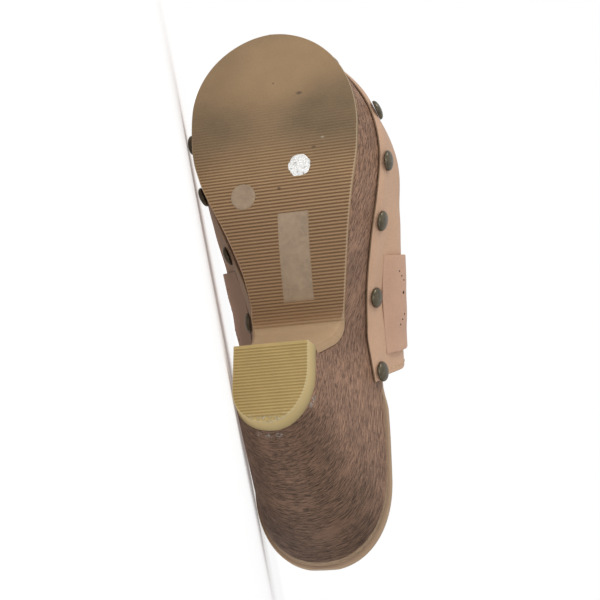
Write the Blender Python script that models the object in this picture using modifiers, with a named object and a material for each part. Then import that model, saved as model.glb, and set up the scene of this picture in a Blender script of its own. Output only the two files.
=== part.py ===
"""Left-foot platform mule clog, lying on its medial side.

Sizes are in millimetres in the standing frame: X runs from the back of the heel to the toe,
Y points to the lateral (outer) side, Z is up from the plane of the tread and the heel lift.
"""

import math

import bmesh
import bpy
import numpy as np
from mathutils import Matrix, Vector

MM = 0.001
GAP = 0.3

OUTSOLE_THICKNESS = 3.3
LIFT_HEIGHT = 8.0
LIFT_BACK_X = 44.5
LIFT_FRONT_X = 80.3
LIFT_WIDEST_X = 61.0
LIFT_ROUND = {"lateral": (68.0, 2.0, 0.5), "medial": (61.0, 2.2, 0.45)}
LIFT_HALF_WIDTH = 17.6
LIFT_CENTRE_Y = -1.0
LIFT_TAPER = 1.3

FOOTBED_THICKNESS = 4.6
FOOTBED_LIP = 1.4
FOOTBED_ROLL = 0.7
FOOTBED_INSET = 0.25
FOOTBED_TIP_X = 243.0
LIP_ENDS_X = (72.0, 83.0)

LEATHER = 2.0
BAND_DEPTH = 9.0
COLLAR_X = 86.4
STRAP_X = (95.0, 136.0)
STRAP_LEATHER = 1.8

TIP_Y = -8.0
TOE_X = 200.0
BALL_X = 177.0
ARCH_X = 104.0
TOP_TIP_X = 248.0
TREAD_TIP_X = 244.5
HEEL_WIDEST_X = 42.0
HEEL_BACK_X = 2.0
HEEL_CENTRE_Y = 1.0
TONGUE_X = 88.0
SEAT_FRONT_X = 85.5

STUD_RADIUS = 4.7
STUD_RISE = 2.5
STUD_RIM = 0.7
STUD_DEPTH = 5.0

# Underside of the sole: a row per section, named by the X of its top edge.
TREAD_ROWS = (
    # top_x, x, z, lateral, medial
    (88.0, 80.6, 8.7, 16.8, -18.8),
    (92.0, 86.5, 18.6, 18.9, -19.0),
    (96.0, 92.5, 27.2, 21.2, -19.2),
    (101.0, 98.5, 30.8, 22.8, -19.3),
    (105.0, 103.0, 28.2, 23.8, -18.9),
    (112.0, 109.0, 23.2, 25.4, -18.0),
    (122.0, 120.5, 15.3, 28.0, -19.4),
    (135.0, 134.5, 7.3, 30.9, -24.0),
    (148.0, 148.0, 2.2, 33.5, -30.2),
    (158.0, 158.0, 0.0, 35.4, -34.6),
    (173.0, 173.0, 0.0, 37.1, -39.4),
    (185.0, 184.0, 0.7, 37.2, -41.0),
    (203.0, 200.5, 2.4, 37.2, -41.9),
    (228.0, 225.0, 7.0, 37.2, -41.9),
    (248.0, 244.5, 12.3, 37.2, -41.9),
)

# Top edge of the sole, under the footbed.
TOP_ROWS = (
    # x, z, lateral, medial
    (0.0, 80.5, 32.3, -30.3),
    (42.0, 76.9, 32.3, -30.3),
    (58.0, 75.2, 32.3, -30.3),
    (78.0, 71.8, 32.0, -29.0),
    (97.0, 64.0, 31.8, -26.2),
    (116.0, 53.1, 32.6, -25.4),
    (136.0, 41.7, 36.0, -29.4),
    (155.0, 32.6, 40.6, -35.2),
    (177.0, 26.9, 44.0, -42.4),
    (195.0, 25.2, 44.0, -45.0),
    (213.0, 26.7, 44.0, -45.0),
    (233.0, 31.0, 44.0, -45.0),
    (248.0, 36.9, 44.0, -45.0),
)

# Inside of the upper: crest is its height over the top edge, the bulges swell past that edge.
UPPER_ROWS = (
    # top_x, tilt, crest, crest_y, shoulder, bulge_lateral, bulge_medial
    (86.0, 31.0, 53.0, -1.0, 16.0, 5.2, 6.8),
    (102.0, 30.0, 51.0, -2.0, 16.0, 6.2, 9.4),
    (112.0, 28.0, 49.5, -3.0, 16.0, 7.2, 11.0),
    (122.0, 25.0, 47.5, -3.5, 15.5, 7.4, 11.0),
    (136.0, 21.0, 45.5, -4.5, 15.0, 6.2, 9.0),
    (148.0, 17.0, 44.0, -5.0, 14.0, 4.6, 7.4),
    (162.0, 11.0, 42.5, -6.0, 13.0, 2.5, 5.0),
    (180.0, 5.0, 41.0, -7.0, 11.5, 1.4, 1.8),
    (200.0, 0.0, 39.5, -8.0, 10.0, 0.6, 0.4),
    (248.3, 0.0, 36.0, -8.0, 9.0, 0.0, 0.0),
)

# Rounded ends of the outlines: where the round starts, and the powers that shape it.
TREAD_TOE = {"lateral": (182.0, 1.9, 0.55), "medial": (200.0, 2.0, 0.5)}
TOP_TOE = {"lateral": (176.0, 1.95, 0.88), "medial": (195.0, 2.0, 0.5)}
ROUND_BACK = (2.2, 0.45)
WALL_SWELL = ((118.0, 160.0), (205.0, 240.0), 0.9)
TOE_BELLY = ((176.0, 208.0), (228.0, 244.0), 0.9)
CREST_TOE = (185.0, 2.2, 0.5)
CREST_TIP = 3.0

LATERAL_STUDS_X = (87.6, 117.0, 147.0, 173.0, 199.4, 232.0, 244.5)
MEDIAL_STUDS_X = (87.6, 112.0, 140.0, 167.0, 194.0, 220.0, 240.0)

# kg per cubic metre, for the balance of the clog at rest.
DENSITY = {
    "sole_unit": 600.0,
    "outsole": 1200.0,
    "heel_lift": 1200.0,
    "footbed": 900.0,
    "upper": 900.0,
    "saddle_strap": 900.0,
    "stud": 8500.0,
}

COLOURS = {
    "sole_unit": (0.30, 0.17, 0.10),
    "outsole": (0.36, 0.24, 0.15),
    "heel_lift": (0.45, 0.30, 0.15),
    "footbed": (0.58, 0.42, 0.29),
    "upper": (0.58, 0.41, 0.33),
    "saddle_strap": (0.56, 0.39, 0.31),
    "stud": (0.32, 0.25, 0.13),
}


def smooth(rows, column, x):
    """Monotone cubic through one column of a table, against its first column."""
    xs = np.array([row[0] for row in rows])
    ys = np.array([row[column] for row in rows])
    width = np.diff(xs)
    slope = np.diff(ys) / width
    grade = np.zeros(len(xs))
    grade[0] = slope[0]
    grade[-1] = slope[-1]
    for i in range(1, len(xs) - 1):
        if slope[i - 1] * slope[i] > 0:
            before = 2 * width[i] + width[i - 1]
            after = width[i] + 2 * width[i - 1]
            grade[i] = (before + after) / (before / slope[i - 1] + after / slope[i])
    x = min(max(x, xs[0]), xs[-1])
    i = min(int(np.searchsorted(xs, x, side="right")) - 1, len(width) - 1)
    t = (x - xs[i]) / width[i]
    hold = (1 + 2 * t) * (1 - t) ** 2 * ys[i] + t * t * (3 - 2 * t) * ys[i + 1]
    lean = t * (1 - t) ** 2 * grade[i] - t * t * (1 - t) * grade[i + 1]
    return float(hold + width[i] * lean)


def rounding(x, start, end, power, root):
    """1 up to start, falling to 0 at end along a superellipse."""
    t = min(max((x - start) / (end - start), 0.0), 1.0)
    return (1.0 - t**power) ** root


def ramp(x, low, high):
    t = min(max((x - low) / (high - low), 0.0), 1.0)
    return t * t * (3 - 2 * t)


def tread_y(x, table_y, side, grow=0.0):
    start, power, root = TREAD_TOE[side]
    grown = table_y + math.copysign(1.0, table_y) * grow
    return TIP_Y + (grown - TIP_Y) * rounding(x, start, TREAD_TIP_X, power, root)


def top_y(x, side, grow=0.0, tip=TOP_TIP_X):
    """Y of the sole's top edge, drawn out by grow."""
    y = smooth(TOP_ROWS, 2 if side == "lateral" else 3, x)
    y += math.copysign(1.0, y) * grow
    start, power, root = TOP_TOE[side]
    y = TIP_Y + (y - TIP_Y) * rounding(x, start, tip + grow, power, root)
    share = rounding(-x, -HEEL_WIDEST_X, grow - HEEL_BACK_X, *ROUND_BACK)
    return HEEL_CENTRE_Y + (y - HEEL_CENTRE_Y) * share


def top_z(x):
    return smooth(TOP_ROWS, 1, x)


def tread_line(top_x, depth=0.0, grow=0.0):
    """Point and edges of the tread under a section, moved into the sole by depth."""
    x = smooth(TREAD_ROWS, 1, top_x)
    z = smooth(TREAD_ROWS, 2, top_x)
    lateral = tread_y(x, smooth(TREAD_ROWS, 3, top_x), "lateral", grow)
    medial = tread_y(x, smooth(TREAD_ROWS, 4, top_x), "medial", grow)
    step = 0.2
    ahead = (smooth(TREAD_ROWS, 1, top_x + step), smooth(TREAD_ROWS, 2, top_x + step))
    behind = (smooth(TREAD_ROWS, 1, top_x - step), smooth(TREAD_ROWS, 2, top_x - step))
    along = Vector((ahead[0] - behind[0], ahead[1] - behind[1])).normalized()
    inward = Vector((-along.y, along.x)) if x < 165.0 else Vector((0.0, 1.0))
    return x + inward.x * depth, z + inward.y * depth, lateral, medial


def lift_share(x, side):
    """How much of its half width the heel lift keeps at x, on one side."""
    start, power, root = LIFT_ROUND[side]
    return rounding(-x, -start, -LIFT_BACK_X, power, root)


def sole_foot(top_x, grow=0.0):
    """Lower edge of the sole unit: over the outsole, then over the heel lift."""
    if top_x >= TONGUE_X:
        return tread_line(top_x, OUTSOLE_THICKNESS + GAP, grow)
    x, z, lateral, medial = tread_line(TONGUE_X, OUTSOLE_THICKNESS + GAP, grow)
    seat = LIFT_HEIGHT + GAP
    if top_x >= SEAT_FRONT_X:
        t = (top_x - SEAT_FRONT_X) / (TONGUE_X - SEAT_FRONT_X)
        return x, seat + (z - seat) * t, lateral, medial
    start = HEEL_WIDEST_X
    if top_x >= start:
        t = (top_x - start) / (SEAT_FRONT_X - start)
        foot = LIFT_WIDEST_X + (x - LIFT_WIDEST_X) * t
    else:
        back = max(top_x - HEEL_BACK_X, 0.0) / (start - HEEL_BACK_X)
        foot = LIFT_BACK_X + (LIFT_WIDEST_X - LIFT_BACK_X) * back
    lateral = LIFT_CENTRE_Y + (lateral - LIFT_CENTRE_Y) * lift_share(foot, "lateral")
    medial = LIFT_CENTRE_Y + (medial - LIFT_CENTRE_Y) * lift_share(foot, "medial")
    return foot, seat, lateral, medial


def wall(top_x, height, side, grow=0.0):
    """Point on the sole's side wall: height 0 at the lower edge, 1 at the top edge."""
    grows, fades, most = TOE_BELLY
    belly = most * ramp(top_x, *grows) * (1.0 - ramp(top_x, *fades)) if side == "lateral" else 0.0
    grow += belly * math.sin(math.pi * min(max(height, 0.0), 1.0))
    reach = grow * max(top_x - TOE_X, 0.0) / (TOP_TIP_X + grow - TOE_X)
    x, z, lateral, medial = sole_foot(top_x - reach, grow)
    low = Vector((x + reach, lateral if side == "lateral" else medial, z))
    high = Vector((top_x, top_y(top_x, side, grow), top_z(top_x)))
    grows, fades, most = WALL_SWELL
    swell = 1.0 + most * ramp(top_x, *grows) * (1.0 - ramp(top_x, *fades))
    place = low.lerp(high, height)
    place.y = high.y + (low.y - high.y) * max(1.0 - height, 0.0) ** swell
    return place


def upper_point(top_x, t):
    """Inside of the upper. t runs -1 lateral lower edge, 0 crest, 1 medial lower edge."""
    side = "lateral" if t < 0 else "medial"
    tilt = math.radians(smooth(UPPER_ROWS, 1, top_x))
    start, power, root = CREST_TOE
    closing = rounding(top_x, start, TOP_TIP_X + GAP, power, root)
    crest = CREST_TIP + (smooth(UPPER_ROWS, 2, top_x) - CREST_TIP) * closing
    shoulder = min(smooth(UPPER_ROWS, 4, top_x), 0.36 * crest)
    edge = top_y(top_x, side, GAP)
    bulge = smooth(UPPER_ROWS, 5 if side == "lateral" else 6, top_x)
    widest = edge + math.copysign(bulge, 1.0 if side == "lateral" else -1.0)
    crest_y = smooth(UPPER_ROWS, 3, top_x)
    if closing == 0.0:
        widest = edge
        crest_y = edge
    s = 1.0 - abs(t)
    if s < 0.16:
        down = BAND_DEPTH * (1.0 - s / 0.16)
        station = top_x - down * math.sin(tilt)
        drop = top_z(station) - top_z(top_x) + down * math.cos(tilt)
        tall = top_z(station) - sole_foot(station)[1]
        return wall(station, 1.0 - drop / tall, side, GAP)
    if s < 0.36:
        rise = (s - 0.16) / 0.2
        y = edge + (widest - edge) * (0.2 * rise + 0.8 * ramp(rise, 0.0, 1.0))
        up = shoulder * rise
    else:
        turn = 0.5 * math.pi * (s - 0.36) / 0.64
        y = crest_y + (widest - crest_y) * math.cos(turn) ** 0.9
        up = shoulder + (crest - shoulder) * math.sin(turn) ** 0.92
    return Vector((top_x + up * math.sin(tilt), y, top_z(top_x) + up * math.cos(tilt)))


def new_object(name, mesh, kind):
    obj = bpy.data.objects.new(name, mesh)
    parts.objects.link(obj)
    material = bpy.data.materials.new(name)
    material.use_nodes = True
    shader = material.node_tree.nodes["Principled BSDF"]
    shader.inputs["Base Color"].default_value = (*COLOURS[kind], 1.0)
    shader.inputs["Metallic"].default_value = 1.0 if kind == "stud" else 0.0
    mesh.materials.append(material)
    obj.parent = placing
    return obj


def sheet(name, kind, us, vs, point, looped=False):
    """A grid laid on point(u, v). A looped sheet joins its sides and has its ends closed."""
    bm = bmesh.new()
    bmesh.ops.create_grid(bm, x_segments=len(us) - 1, y_segments=len(vs) - 1, size=1.0)
    for vert in bm.verts:
        column = round((vert.co.x + 1.0) / 2.0 * (len(us) - 1))
        row = round((vert.co.y + 1.0) / 2.0 * (len(vs) - 1))
        vert.co = Vector(point(us[column], vs[row])) * MM
    bmesh.ops.remove_doubles(bm, verts=bm.verts, dist=0.00001)
    bmesh.ops.dissolve_degenerate(bm, edges=bm.edges, dist=0.00001)
    if looped:
        bmesh.ops.holes_fill(bm, edges=[e for e in bm.edges if e.is_boundary], sides=0)
    bmesh.ops.recalc_face_normals(bm, faces=bm.faces)
    mesh = bpy.data.meshes.new(name)
    bm.to_mesh(mesh)
    bm.free()
    return new_object(name, mesh, kind)


def spread(low, high, count):
    return [float(x) for x in np.linspace(low, high, count + 1)]


def towards_end(start, end, count):
    """Stations that crowd towards a rounded end."""
    return [start + (end - start) * math.sin(0.5 * math.pi * i / count) for i in range(count + 1)]


def from_end(end, stop, count):
    """Stations that crowd away from a rounded end."""
    return towards_end(stop, end, count)[::-1]


def stations(low, *runs):
    """Joins runs of stations, each starting where the last ended."""
    out = [low]
    for run in runs:
        out += run[1:]
    return out


def slab(u, lower, upper):
    """A slab's closed section: u goes round the lower face, up one side, over the top and down."""
    x0, z0, lateral0, medial0 = lower
    x1, z1, lateral1, medial1 = upper
    if u <= 0.4:
        t = u / 0.4
        return x0, lateral0 + (medial0 - lateral0) * t, z0
    if u < 0.5:
        t = (u - 0.4) / 0.1
        return x0 + (x1 - x0) * t, medial0 + (medial1 - medial0) * t, z0 + (z1 - z0) * t
    if u <= 0.9:
        t = (u - 0.5) / 0.4
        return x1, medial1 + (lateral1 - medial1) * t, z1
    t = (u - 0.9) / 0.1
    return x1 + (x0 - x1) * t, lateral1 + (lateral0 - lateral1) * t, z1 + (z0 - z1) * t


def build_sole_unit():
    def point(u, top_x):
        if u <= 0.25:
            a = wall(top_x, 0.0, "lateral")
            b = wall(top_x, 0.0, "medial")
            return a.lerp(b, u / 0.25)
        if u <= 0.5:
            return wall(top_x, (u - 0.25) / 0.25, "medial")
        if u <= 0.75:
            a = wall(top_x, 1.0, "medial")
            b = wall(top_x, 1.0, "lateral")
            return a.lerp(b, (u - 0.5) / 0.25)
        return wall(top_x, (1.0 - u) / 0.25, "lateral")

    back = from_end(HEEL_BACK_X, HEEL_WIDEST_X, 9)
    rows = stations(
        back[0],
        back,
        spread(HEEL_WIDEST_X, SEAT_FRONT_X, 4),
        [SEAT_FRONT_X, TONGUE_X],
        spread(TONGUE_X, ARCH_X, 8),
        spread(ARCH_X, BALL_X, 10),
        towards_end(BALL_X, TOP_TIP_X, 12),
    )
    return sheet("sole_unit", "sole_unit", spread(0.0, 1.0, 24), rows, point, looped=True)


def build_outsole():
    def point(u, top_x):
        return slab(u, tread_line(top_x), tread_line(top_x, OUTSOLE_THICKNESS))

    rows = stations(
        TONGUE_X,
        spread(TONGUE_X, ARCH_X, 8),
        spread(ARCH_X, BALL_X, 10),
        towards_end(BALL_X, TOP_TIP_X, 12),
    )
    return sheet("outsole", "outsole", spread(0.0, 1.0, 20), rows, point, looped=True)


def build_heel_lift():
    def level(x, z):
        share = (x - LIFT_BACK_X) / (LIFT_FRONT_X - LIFT_BACK_X)
        taper = LIFT_TAPER * (1.0 - z / LIFT_HEIGHT)
        half = LIFT_HALF_WIDTH - taper
        lateral = LIFT_CENTRE_Y + half * lift_share(x, "lateral")
        medial = LIFT_CENTRE_Y - half * lift_share(x, "medial")
        return x + taper * (1.0 - share), z, lateral, medial

    def point(u, x):
        return slab(u, level(x, 0.0), level(x, LIFT_HEIGHT))

    back = from_end(LIFT_BACK_X, LIFT_WIDEST_X, 8)
    rows = stations(back[0], back, spread(LIFT_WIDEST_X, LIFT_FRONT_X, 3))
    return sheet("heel_lift", "heel_lift", spread(0.0, 1.0, 20), rows, point, looped=True)


def build_footbed():
    def level(x, rise):
        lip = FOOTBED_LIP + (-FOOTBED_INSET - FOOTBED_LIP) * ramp(x, *LIP_ENDS_X)
        roll = 1.0 - ((rise - 0.5) / 0.5) ** 2
        grow = lip - FOOTBED_ROLL * (1.0 - roll)
        lateral = top_y(x, "lateral", grow, FOOTBED_TIP_X)
        medial = top_y(x, "medial", grow, FOOTBED_TIP_X)
        return lateral, medial, top_z(x) + GAP + FOOTBED_THICKNESS * rise

    def point(u, x):
        if u <= 0.35:
            lateral, medial, z = level(x, 0.0)
            return x, lateral + (medial - lateral) * u / 0.35, z
        if u < 0.5:
            lateral, medial, z = level(x, (u - 0.35) / 0.15)
            return x, medial, z
        if u <= 0.85:
            lateral, medial, z = level(x, 1.0)
            return x, medial + (lateral - medial) * (u - 0.5) / 0.35, z
        lateral, medial, z = level(x, (1.0 - u) / 0.15)
        return x, lateral, z

    back = from_end(HEEL_BACK_X - FOOTBED_LIP + FOOTBED_ROLL, HEEL_WIDEST_X, 9)
    rows = stations(
        back[0],
        back,
        spread(HEEL_WIDEST_X, ARCH_X, 6),
        spread(ARCH_X, BALL_X, 9),
        towards_end(BALL_X, FOOTBED_TIP_X - FOOTBED_INSET, 10),
    )
    return sheet("footbed", "footbed", spread(0.0, 1.0, 20), rows, point, looped=True)


def upper_rows():
    return stations(
        COLLAR_X,
        spread(COLLAR_X, STRAP_X[0], 2),
        spread(STRAP_X[0], STRAP_X[1], 7),
        spread(STRAP_X[1], 185.0, 7),
        towards_end(185.0, TOP_TIP_X + GAP, 12),
    )


def upper_columns():
    half = stations(0.0, spread(0.0, 0.16, 2), spread(0.16, 0.36, 3), spread(0.36, 1.0, 8))
    return [s - 1.0 for s in half] + [1.0 - s for s in half[-2::-1]]


def shell(obj, thickness, clear=0.0):
    if clear:
        push = obj.modifiers.new("clear", "DISPLACE")
        push.strength = clear * MM
        push.mid_level = 0.0
    solid = obj.modifiers.new("leather", "SOLIDIFY")
    solid.thickness = thickness * MM
    solid.offset = 1.0
    solid.use_even_offset = True
    return obj


def upper_at(t, top_x):
    return upper_point(top_x, t)


def build_upper():
    return shell(sheet("upper", "upper", upper_columns(), upper_rows(), upper_at), LEATHER)


def build_saddle_strap():
    columns = [t for t in upper_columns() if abs(t) < 0.80]
    rows = [x for x in upper_rows() if STRAP_X[0] - 0.01 < x < STRAP_X[1] + 0.01]
    strap = sheet("saddle_strap", "saddle_strap", columns, rows, upper_at)
    return shell(strap, STRAP_LEATHER, LEATHER + GAP)


def stud_seat(top_x, side):
    """Place and outward direction of a stud on the outside of the leather."""
    height = 1.0 - STUD_DEPTH / (top_z(top_x) - sole_foot(top_x)[1])
    grow = GAP + LEATHER + GAP
    if top_x >= TOP_TIP_X:
        place = wall(TOP_TIP_X + grow, height, side, grow)
        rise = wall(TOP_TIP_X + grow, 1.0, side, grow) - place
        return place, Vector((rise.z, 0.0, -rise.x)).normalized()
    place = wall(top_x, height, side, grow)
    along = wall(top_x + 1.0, height, side, grow) - wall(top_x - 1.0, height, side, grow)
    rise = wall(top_x, 1.0, side, grow) - place
    out = rise.cross(along) if side == "lateral" else along.cross(rise)
    return place, out.normalized()


def build_stud(name, place, out):
    """A domed nail head: half a profile turned about its own axis."""
    bm = bmesh.new()
    profile = [(0.0, 0.0), (STUD_RADIUS, 0.0), (STUD_RADIUS, STUD_RIM)]
    for i in range(1, 5):
        angle = 0.5 * math.pi * i / 4
        rise = STUD_RIM + (STUD_RISE - STUD_RIM) * math.sin(angle)
        profile.append((STUD_RADIUS * math.cos(angle), rise))
    verts = [bm.verts.new((r * MM, 0.0, z * MM)) for r, z in profile]
    for a, b in zip(verts, verts[1:]):
        bm.edges.new((a, b))
    bmesh.ops.spin(
        bm,
        geom=bm.verts[:] + bm.edges[:],
        cent=(0.0, 0.0, 0.0),
        axis=(0.0, 0.0, 1.0),
        angle=2.0 * math.pi,
        steps=16,
        use_merge=True,
    )
    bmesh.ops.remove_doubles(bm, verts=bm.verts, dist=0.00001)
    bmesh.ops.recalc_face_normals(bm, faces=bm.faces)
    mesh = bpy.data.meshes.new(name)
    bm.to_mesh(mesh)
    bm.free()
    stud = new_object(name, mesh, "stud")
    stud.location = place * MM
    stud.rotation_mode = "QUATERNION"
    stud.rotation_quaternion = out.to_track_quat("Z", "Y")
    return stud


def build_studs():
    for side, xs in (("lateral", LATERAL_STUDS_X), ("medial", MEDIAL_STUDS_X)):
        for number, top_x in enumerate(xs, 1):
            build_stud(f"stud_{side}_{number}", *stud_seat(top_x, side))
    build_stud("stud_toe", *stud_seat(TOP_TIP_X, "lateral"))


def balance():
    """Every point of the clog as modelled, and its centre of mass, in the standing frame."""
    bpy.context.view_layer.update()
    graph = bpy.context.evaluated_depsgraph_get()
    cloud = []
    weight = 0.0
    moment = Vector((0.0, 0.0, 0.0))
    for obj in parts.objects:
        bm = bmesh.new()
        bm.from_object(obj, graph)
        bm.transform(obj.matrix_world)
        density = DENSITY.get(obj.name, DENSITY["stud"])
        cloud += [v.co.copy() for v in bm.verts]
        for a, b, c in ([loop.vert.co for loop in tri] for tri in bm.calc_loop_triangles()):
            volume = a.dot(b.cross(c)) / 6.0 * density
            weight += volume
            moment += volume * (a + b + c) / 4.0
        bm.free()
    return cloud, moment / weight


def lie_down():
    """Turns the clog onto the face of its hull, on the medial side, that carries its weight."""
    cloud, centre = balance()
    bm = bmesh.new()
    for point in cloud:
        bm.verts.new(point)
    bmesh.ops.convex_hull(bm, input=bm.verts)
    side = Vector((0.0, -1.0, 0.0))
    best = None
    for face in bm.faces:
        normal = face.normal
        if normal.dot((face.calc_center_median() - centre)) < 0:
            normal = -normal
        reach = normal.dot(face.verts[0].co - centre)
        if normal.dot(side) > 0.75 and (best is None or reach < best[0]):
            best = (reach, normal.copy())
    bm.free()
    down = best[1]
    forward = (Vector((1.0, 0.0, 0.0)) - down * down.x).normalized()
    across = down.cross(forward)
    turn = Matrix((-forward, across, -down))
    laid = [turn @ point for point in cloud]
    middle = [(min(p[i] for p in laid) + max(p[i] for p in laid)) / 2.0 for i in (0, 1)]
    floor = min(p.z for p in laid)
    placing.matrix_world = Matrix.Translation((-middle[0], -middle[1], -floor)) @ turn.to_4x4()


for old in list(bpy.data.objects):
    bpy.data.objects.remove(old)
parts = bpy.data.collections.new("platform_clog")
bpy.context.scene.collection.children.link(parts)
placing = bpy.data.objects.new("placing", None)
bpy.context.scene.collection.objects.link(placing)

build_sole_unit()
build_outsole()
build_heel_lift()
build_footbed()
build_upper()
build_saddle_strap()
build_studs()
lie_down()
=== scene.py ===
"""Dressed model of a left-foot platform mule clog lying on its inner side.

Shapes are worked out in millimetres in the standing frame of the clog: X runs from the back of the
heel to the toe, Y points to the outer side, Z is up from the tread. Each point is then laid down
into the row frame, in metres.
"""

import bisect
import functools
import math

import bmesh
import bpy
from mathutils import Matrix, Vector, noise


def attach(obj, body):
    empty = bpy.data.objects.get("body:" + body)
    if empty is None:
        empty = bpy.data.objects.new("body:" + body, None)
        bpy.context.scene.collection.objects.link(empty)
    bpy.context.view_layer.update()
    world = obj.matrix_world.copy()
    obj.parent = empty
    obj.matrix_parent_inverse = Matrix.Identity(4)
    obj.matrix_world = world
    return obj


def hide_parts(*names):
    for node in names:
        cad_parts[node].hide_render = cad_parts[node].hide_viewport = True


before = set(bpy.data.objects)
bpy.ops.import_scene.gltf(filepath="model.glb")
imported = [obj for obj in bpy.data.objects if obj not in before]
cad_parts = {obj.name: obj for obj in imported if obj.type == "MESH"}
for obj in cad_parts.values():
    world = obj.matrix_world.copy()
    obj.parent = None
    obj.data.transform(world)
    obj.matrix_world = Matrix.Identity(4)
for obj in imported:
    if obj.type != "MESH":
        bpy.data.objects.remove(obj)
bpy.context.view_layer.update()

bl_info = {
    "name": "Platform clog",
    "version": (1, 0, 0),
    "blender": (4, 5, 0),
    "location": "View3D > Sidebar > Clog",
    "description": "Builds the sole, upper, strap, studs and stage of a platform mule clog",
    "category": "Add Mesh",
}

# Metres and map units in a millimetre, the clearance between pieces, and the reach of a weld in metres.
MM = 0.001
UV_UNIT = 0.01
GAP = 0.3
WELD = 0.000005

# Standing frame to row frame, both in millimetres.
LAID_DOWN = Matrix(
    (
        (-0.979990265, 0.193365622, 0.047210337, 121.641588),
        (-0.000000084, -0.237184139, 0.971464711, -52.803244),
        (0.199045421, 0.952025956, 0.232438164, 4.613093),
        (0.0, 0.0, 0.0, 1.0),
    )
)

OUTSOLE_THICKNESS = 3.3

# Heel lift: its outline, its rounded lower edge, and its ribs, with the plain rubber at either end.
LIFT_HEIGHT = 8.0
LIFT_BACK_X = 44.5
LIFT_FRONT_X = 80.3
LIFT_WIDEST_X = 61.0
LIFT_ROUND = {"lateral": (68.0, 2.0, 0.5), "medial": (61.0, 2.2, 0.45)}
LIFT_HALF_WIDTH = 17.6
LIFT_CENTRE_Y = -1.0
LIFT_TAPER = 1.3
LIFT_LIP = 0.4
LIFT_RIBS = (1.6, 1.0)
LIFT_RIB_SHARE = 0.65

# Footbed: its lip stands over the sole at the heel and draws in where the upper begins.
FOOTBED_THICKNESS = 4.6
FOOTBED_LIP = 1.4
FOOTBED_ROLL = 0.7
FOOTBED_INSET = 0.25
FOOTBED_TIP_X = 243.0
LIP_ENDS_X = (72.0, 83.0)

# Round the footbed's section: where its underside, medial rim and top end.
UNDER_END = 0.35
RIM_END = 0.5
TOP_END = 0.85
RIM_SPAN = 0.15
DISH_DEPTH = 1.1
DISH_X = (4.0, 26.0)

# Upper and strap: the band nailed to the wall, the collar, and the strap's edges and ends.
BAND_DEPTH = 9.0
COLLAR_X = 86.4
STRAP_X = (95.0, 136.0)
STRAP_END = 0.80
STRAP_TUCK = 0.1
CUT_EDGE_ROUND = 0.0003

# Share of its thickness that the leather keeps at its edge, and the way in to full thickness.
UPPER_PARED = (0.45, 0.06)
STRAP_PARED = (0.2, 0.09)

# Share of the upper's half girth up to the sole's top edge and up to the shoulder, and the most of
# the crest's height that the shoulder takes.
EDGE_SHARE = 0.16
SHOULDER_SHARE = 0.36
SHOULDER_MOST = 0.36

# How far the leather swells between nails, and how far from a nail that starts and ends.
NAIL_SWELL = 0.40
NAIL_REACH = (2.0, 13.0)
SWELL_END_X = 236.0

# Punched pattern of the strap: where its middle lies, and each hole's way ahead and around.
HOLES_AT = 0.592
HOLES_X = 117.7
BIG_HOLE = (119.8, 0.657)
HOLE_STEPS = ((7.4, 0.062), (9.3, 0.080), (11.3, 0.098))
BIG_HOLE_SCALE = 1.7
HOLE_DEPTH = 0.00012

# Collar stitches: the way in from the collar's edge, the reach round the upper, and their girth.
STITCH_INSET = 2.2
STITCH_REACH = 0.83
STITCH_GIRTH = (0.00034, 0.00026)

# Stations along the sole and the lines that its rounded ends close on.
TIP_Y = -8.0
TOE_X = 200.0
BALL_X = 177.0
ARCH_X = 104.0
TOP_TIP_X = 248.0
TREAD_TIP_X = 244.5
HEEL_WIDEST_X = 42.0
HEEL_BACK_X = 2.0
HEEL_CENTRE_Y = 1.0
TONGUE_X = 88.0
SEAT_FRONT_X = 85.5
# Ahead of this the outsole's thickness is measured straight up.
UPRIGHT_FROM_X = 165.0

# Studs: how far they sit below the sole's top edge.
STUD_DEPTH = 5.0

# Underside of the sole: a row per section, named by the X of its top edge.
TREAD_ROWS = (
    # top_x, x, z, lateral, medial
    (88.0, 80.6, 8.7, 16.8, -18.8),
    (92.0, 86.5, 18.6, 18.9, -19.0),
    (96.0, 92.5, 27.2, 21.2, -19.2),
    (101.0, 98.5, 30.8, 22.8, -19.3),
    (105.0, 103.0, 28.2, 23.8, -18.9),
    (112.0, 109.0, 23.2, 25.4, -18.0),
    (122.0, 120.5, 15.3, 28.0, -19.4),
    (135.0, 134.5, 7.3, 30.9, -24.0),
    (148.0, 148.0, 2.2, 33.5, -30.2),
    (158.0, 158.0, 0.0, 35.4, -34.6),
    (173.0, 173.0, 0.0, 37.1, -39.4),
    (185.0, 184.0, 0.7, 37.2, -41.0),
    (203.0, 200.5, 2.4, 37.2, -41.9),
    (228.0, 225.0, 7.0, 37.2, -41.9),
    (248.0, 244.5, 12.3, 37.2, -41.9),
)

# Top edge of the sole, under the footbed.
TOP_ROWS = (
    # x, z, lateral, medial
    (0.0, 80.5, 32.3, -30.3),
    (42.0, 76.9, 32.3, -30.3),
    (58.0, 75.2, 32.3, -30.3),
    (78.0, 71.8, 32.0, -29.0),
    (97.0, 64.0, 31.8, -26.2),
    (116.0, 53.1, 32.6, -25.4),
    (136.0, 41.7, 36.0, -29.4),
    (155.0, 32.6, 40.6, -35.2),
    (177.0, 26.9, 44.0, -42.4),
    (195.0, 25.2, 44.0, -45.0),
    (213.0, 26.7, 44.0, -45.0),
    (233.0, 31.0, 44.0, -45.0),
    (248.0, 36.9, 44.0, -45.0),
)

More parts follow.
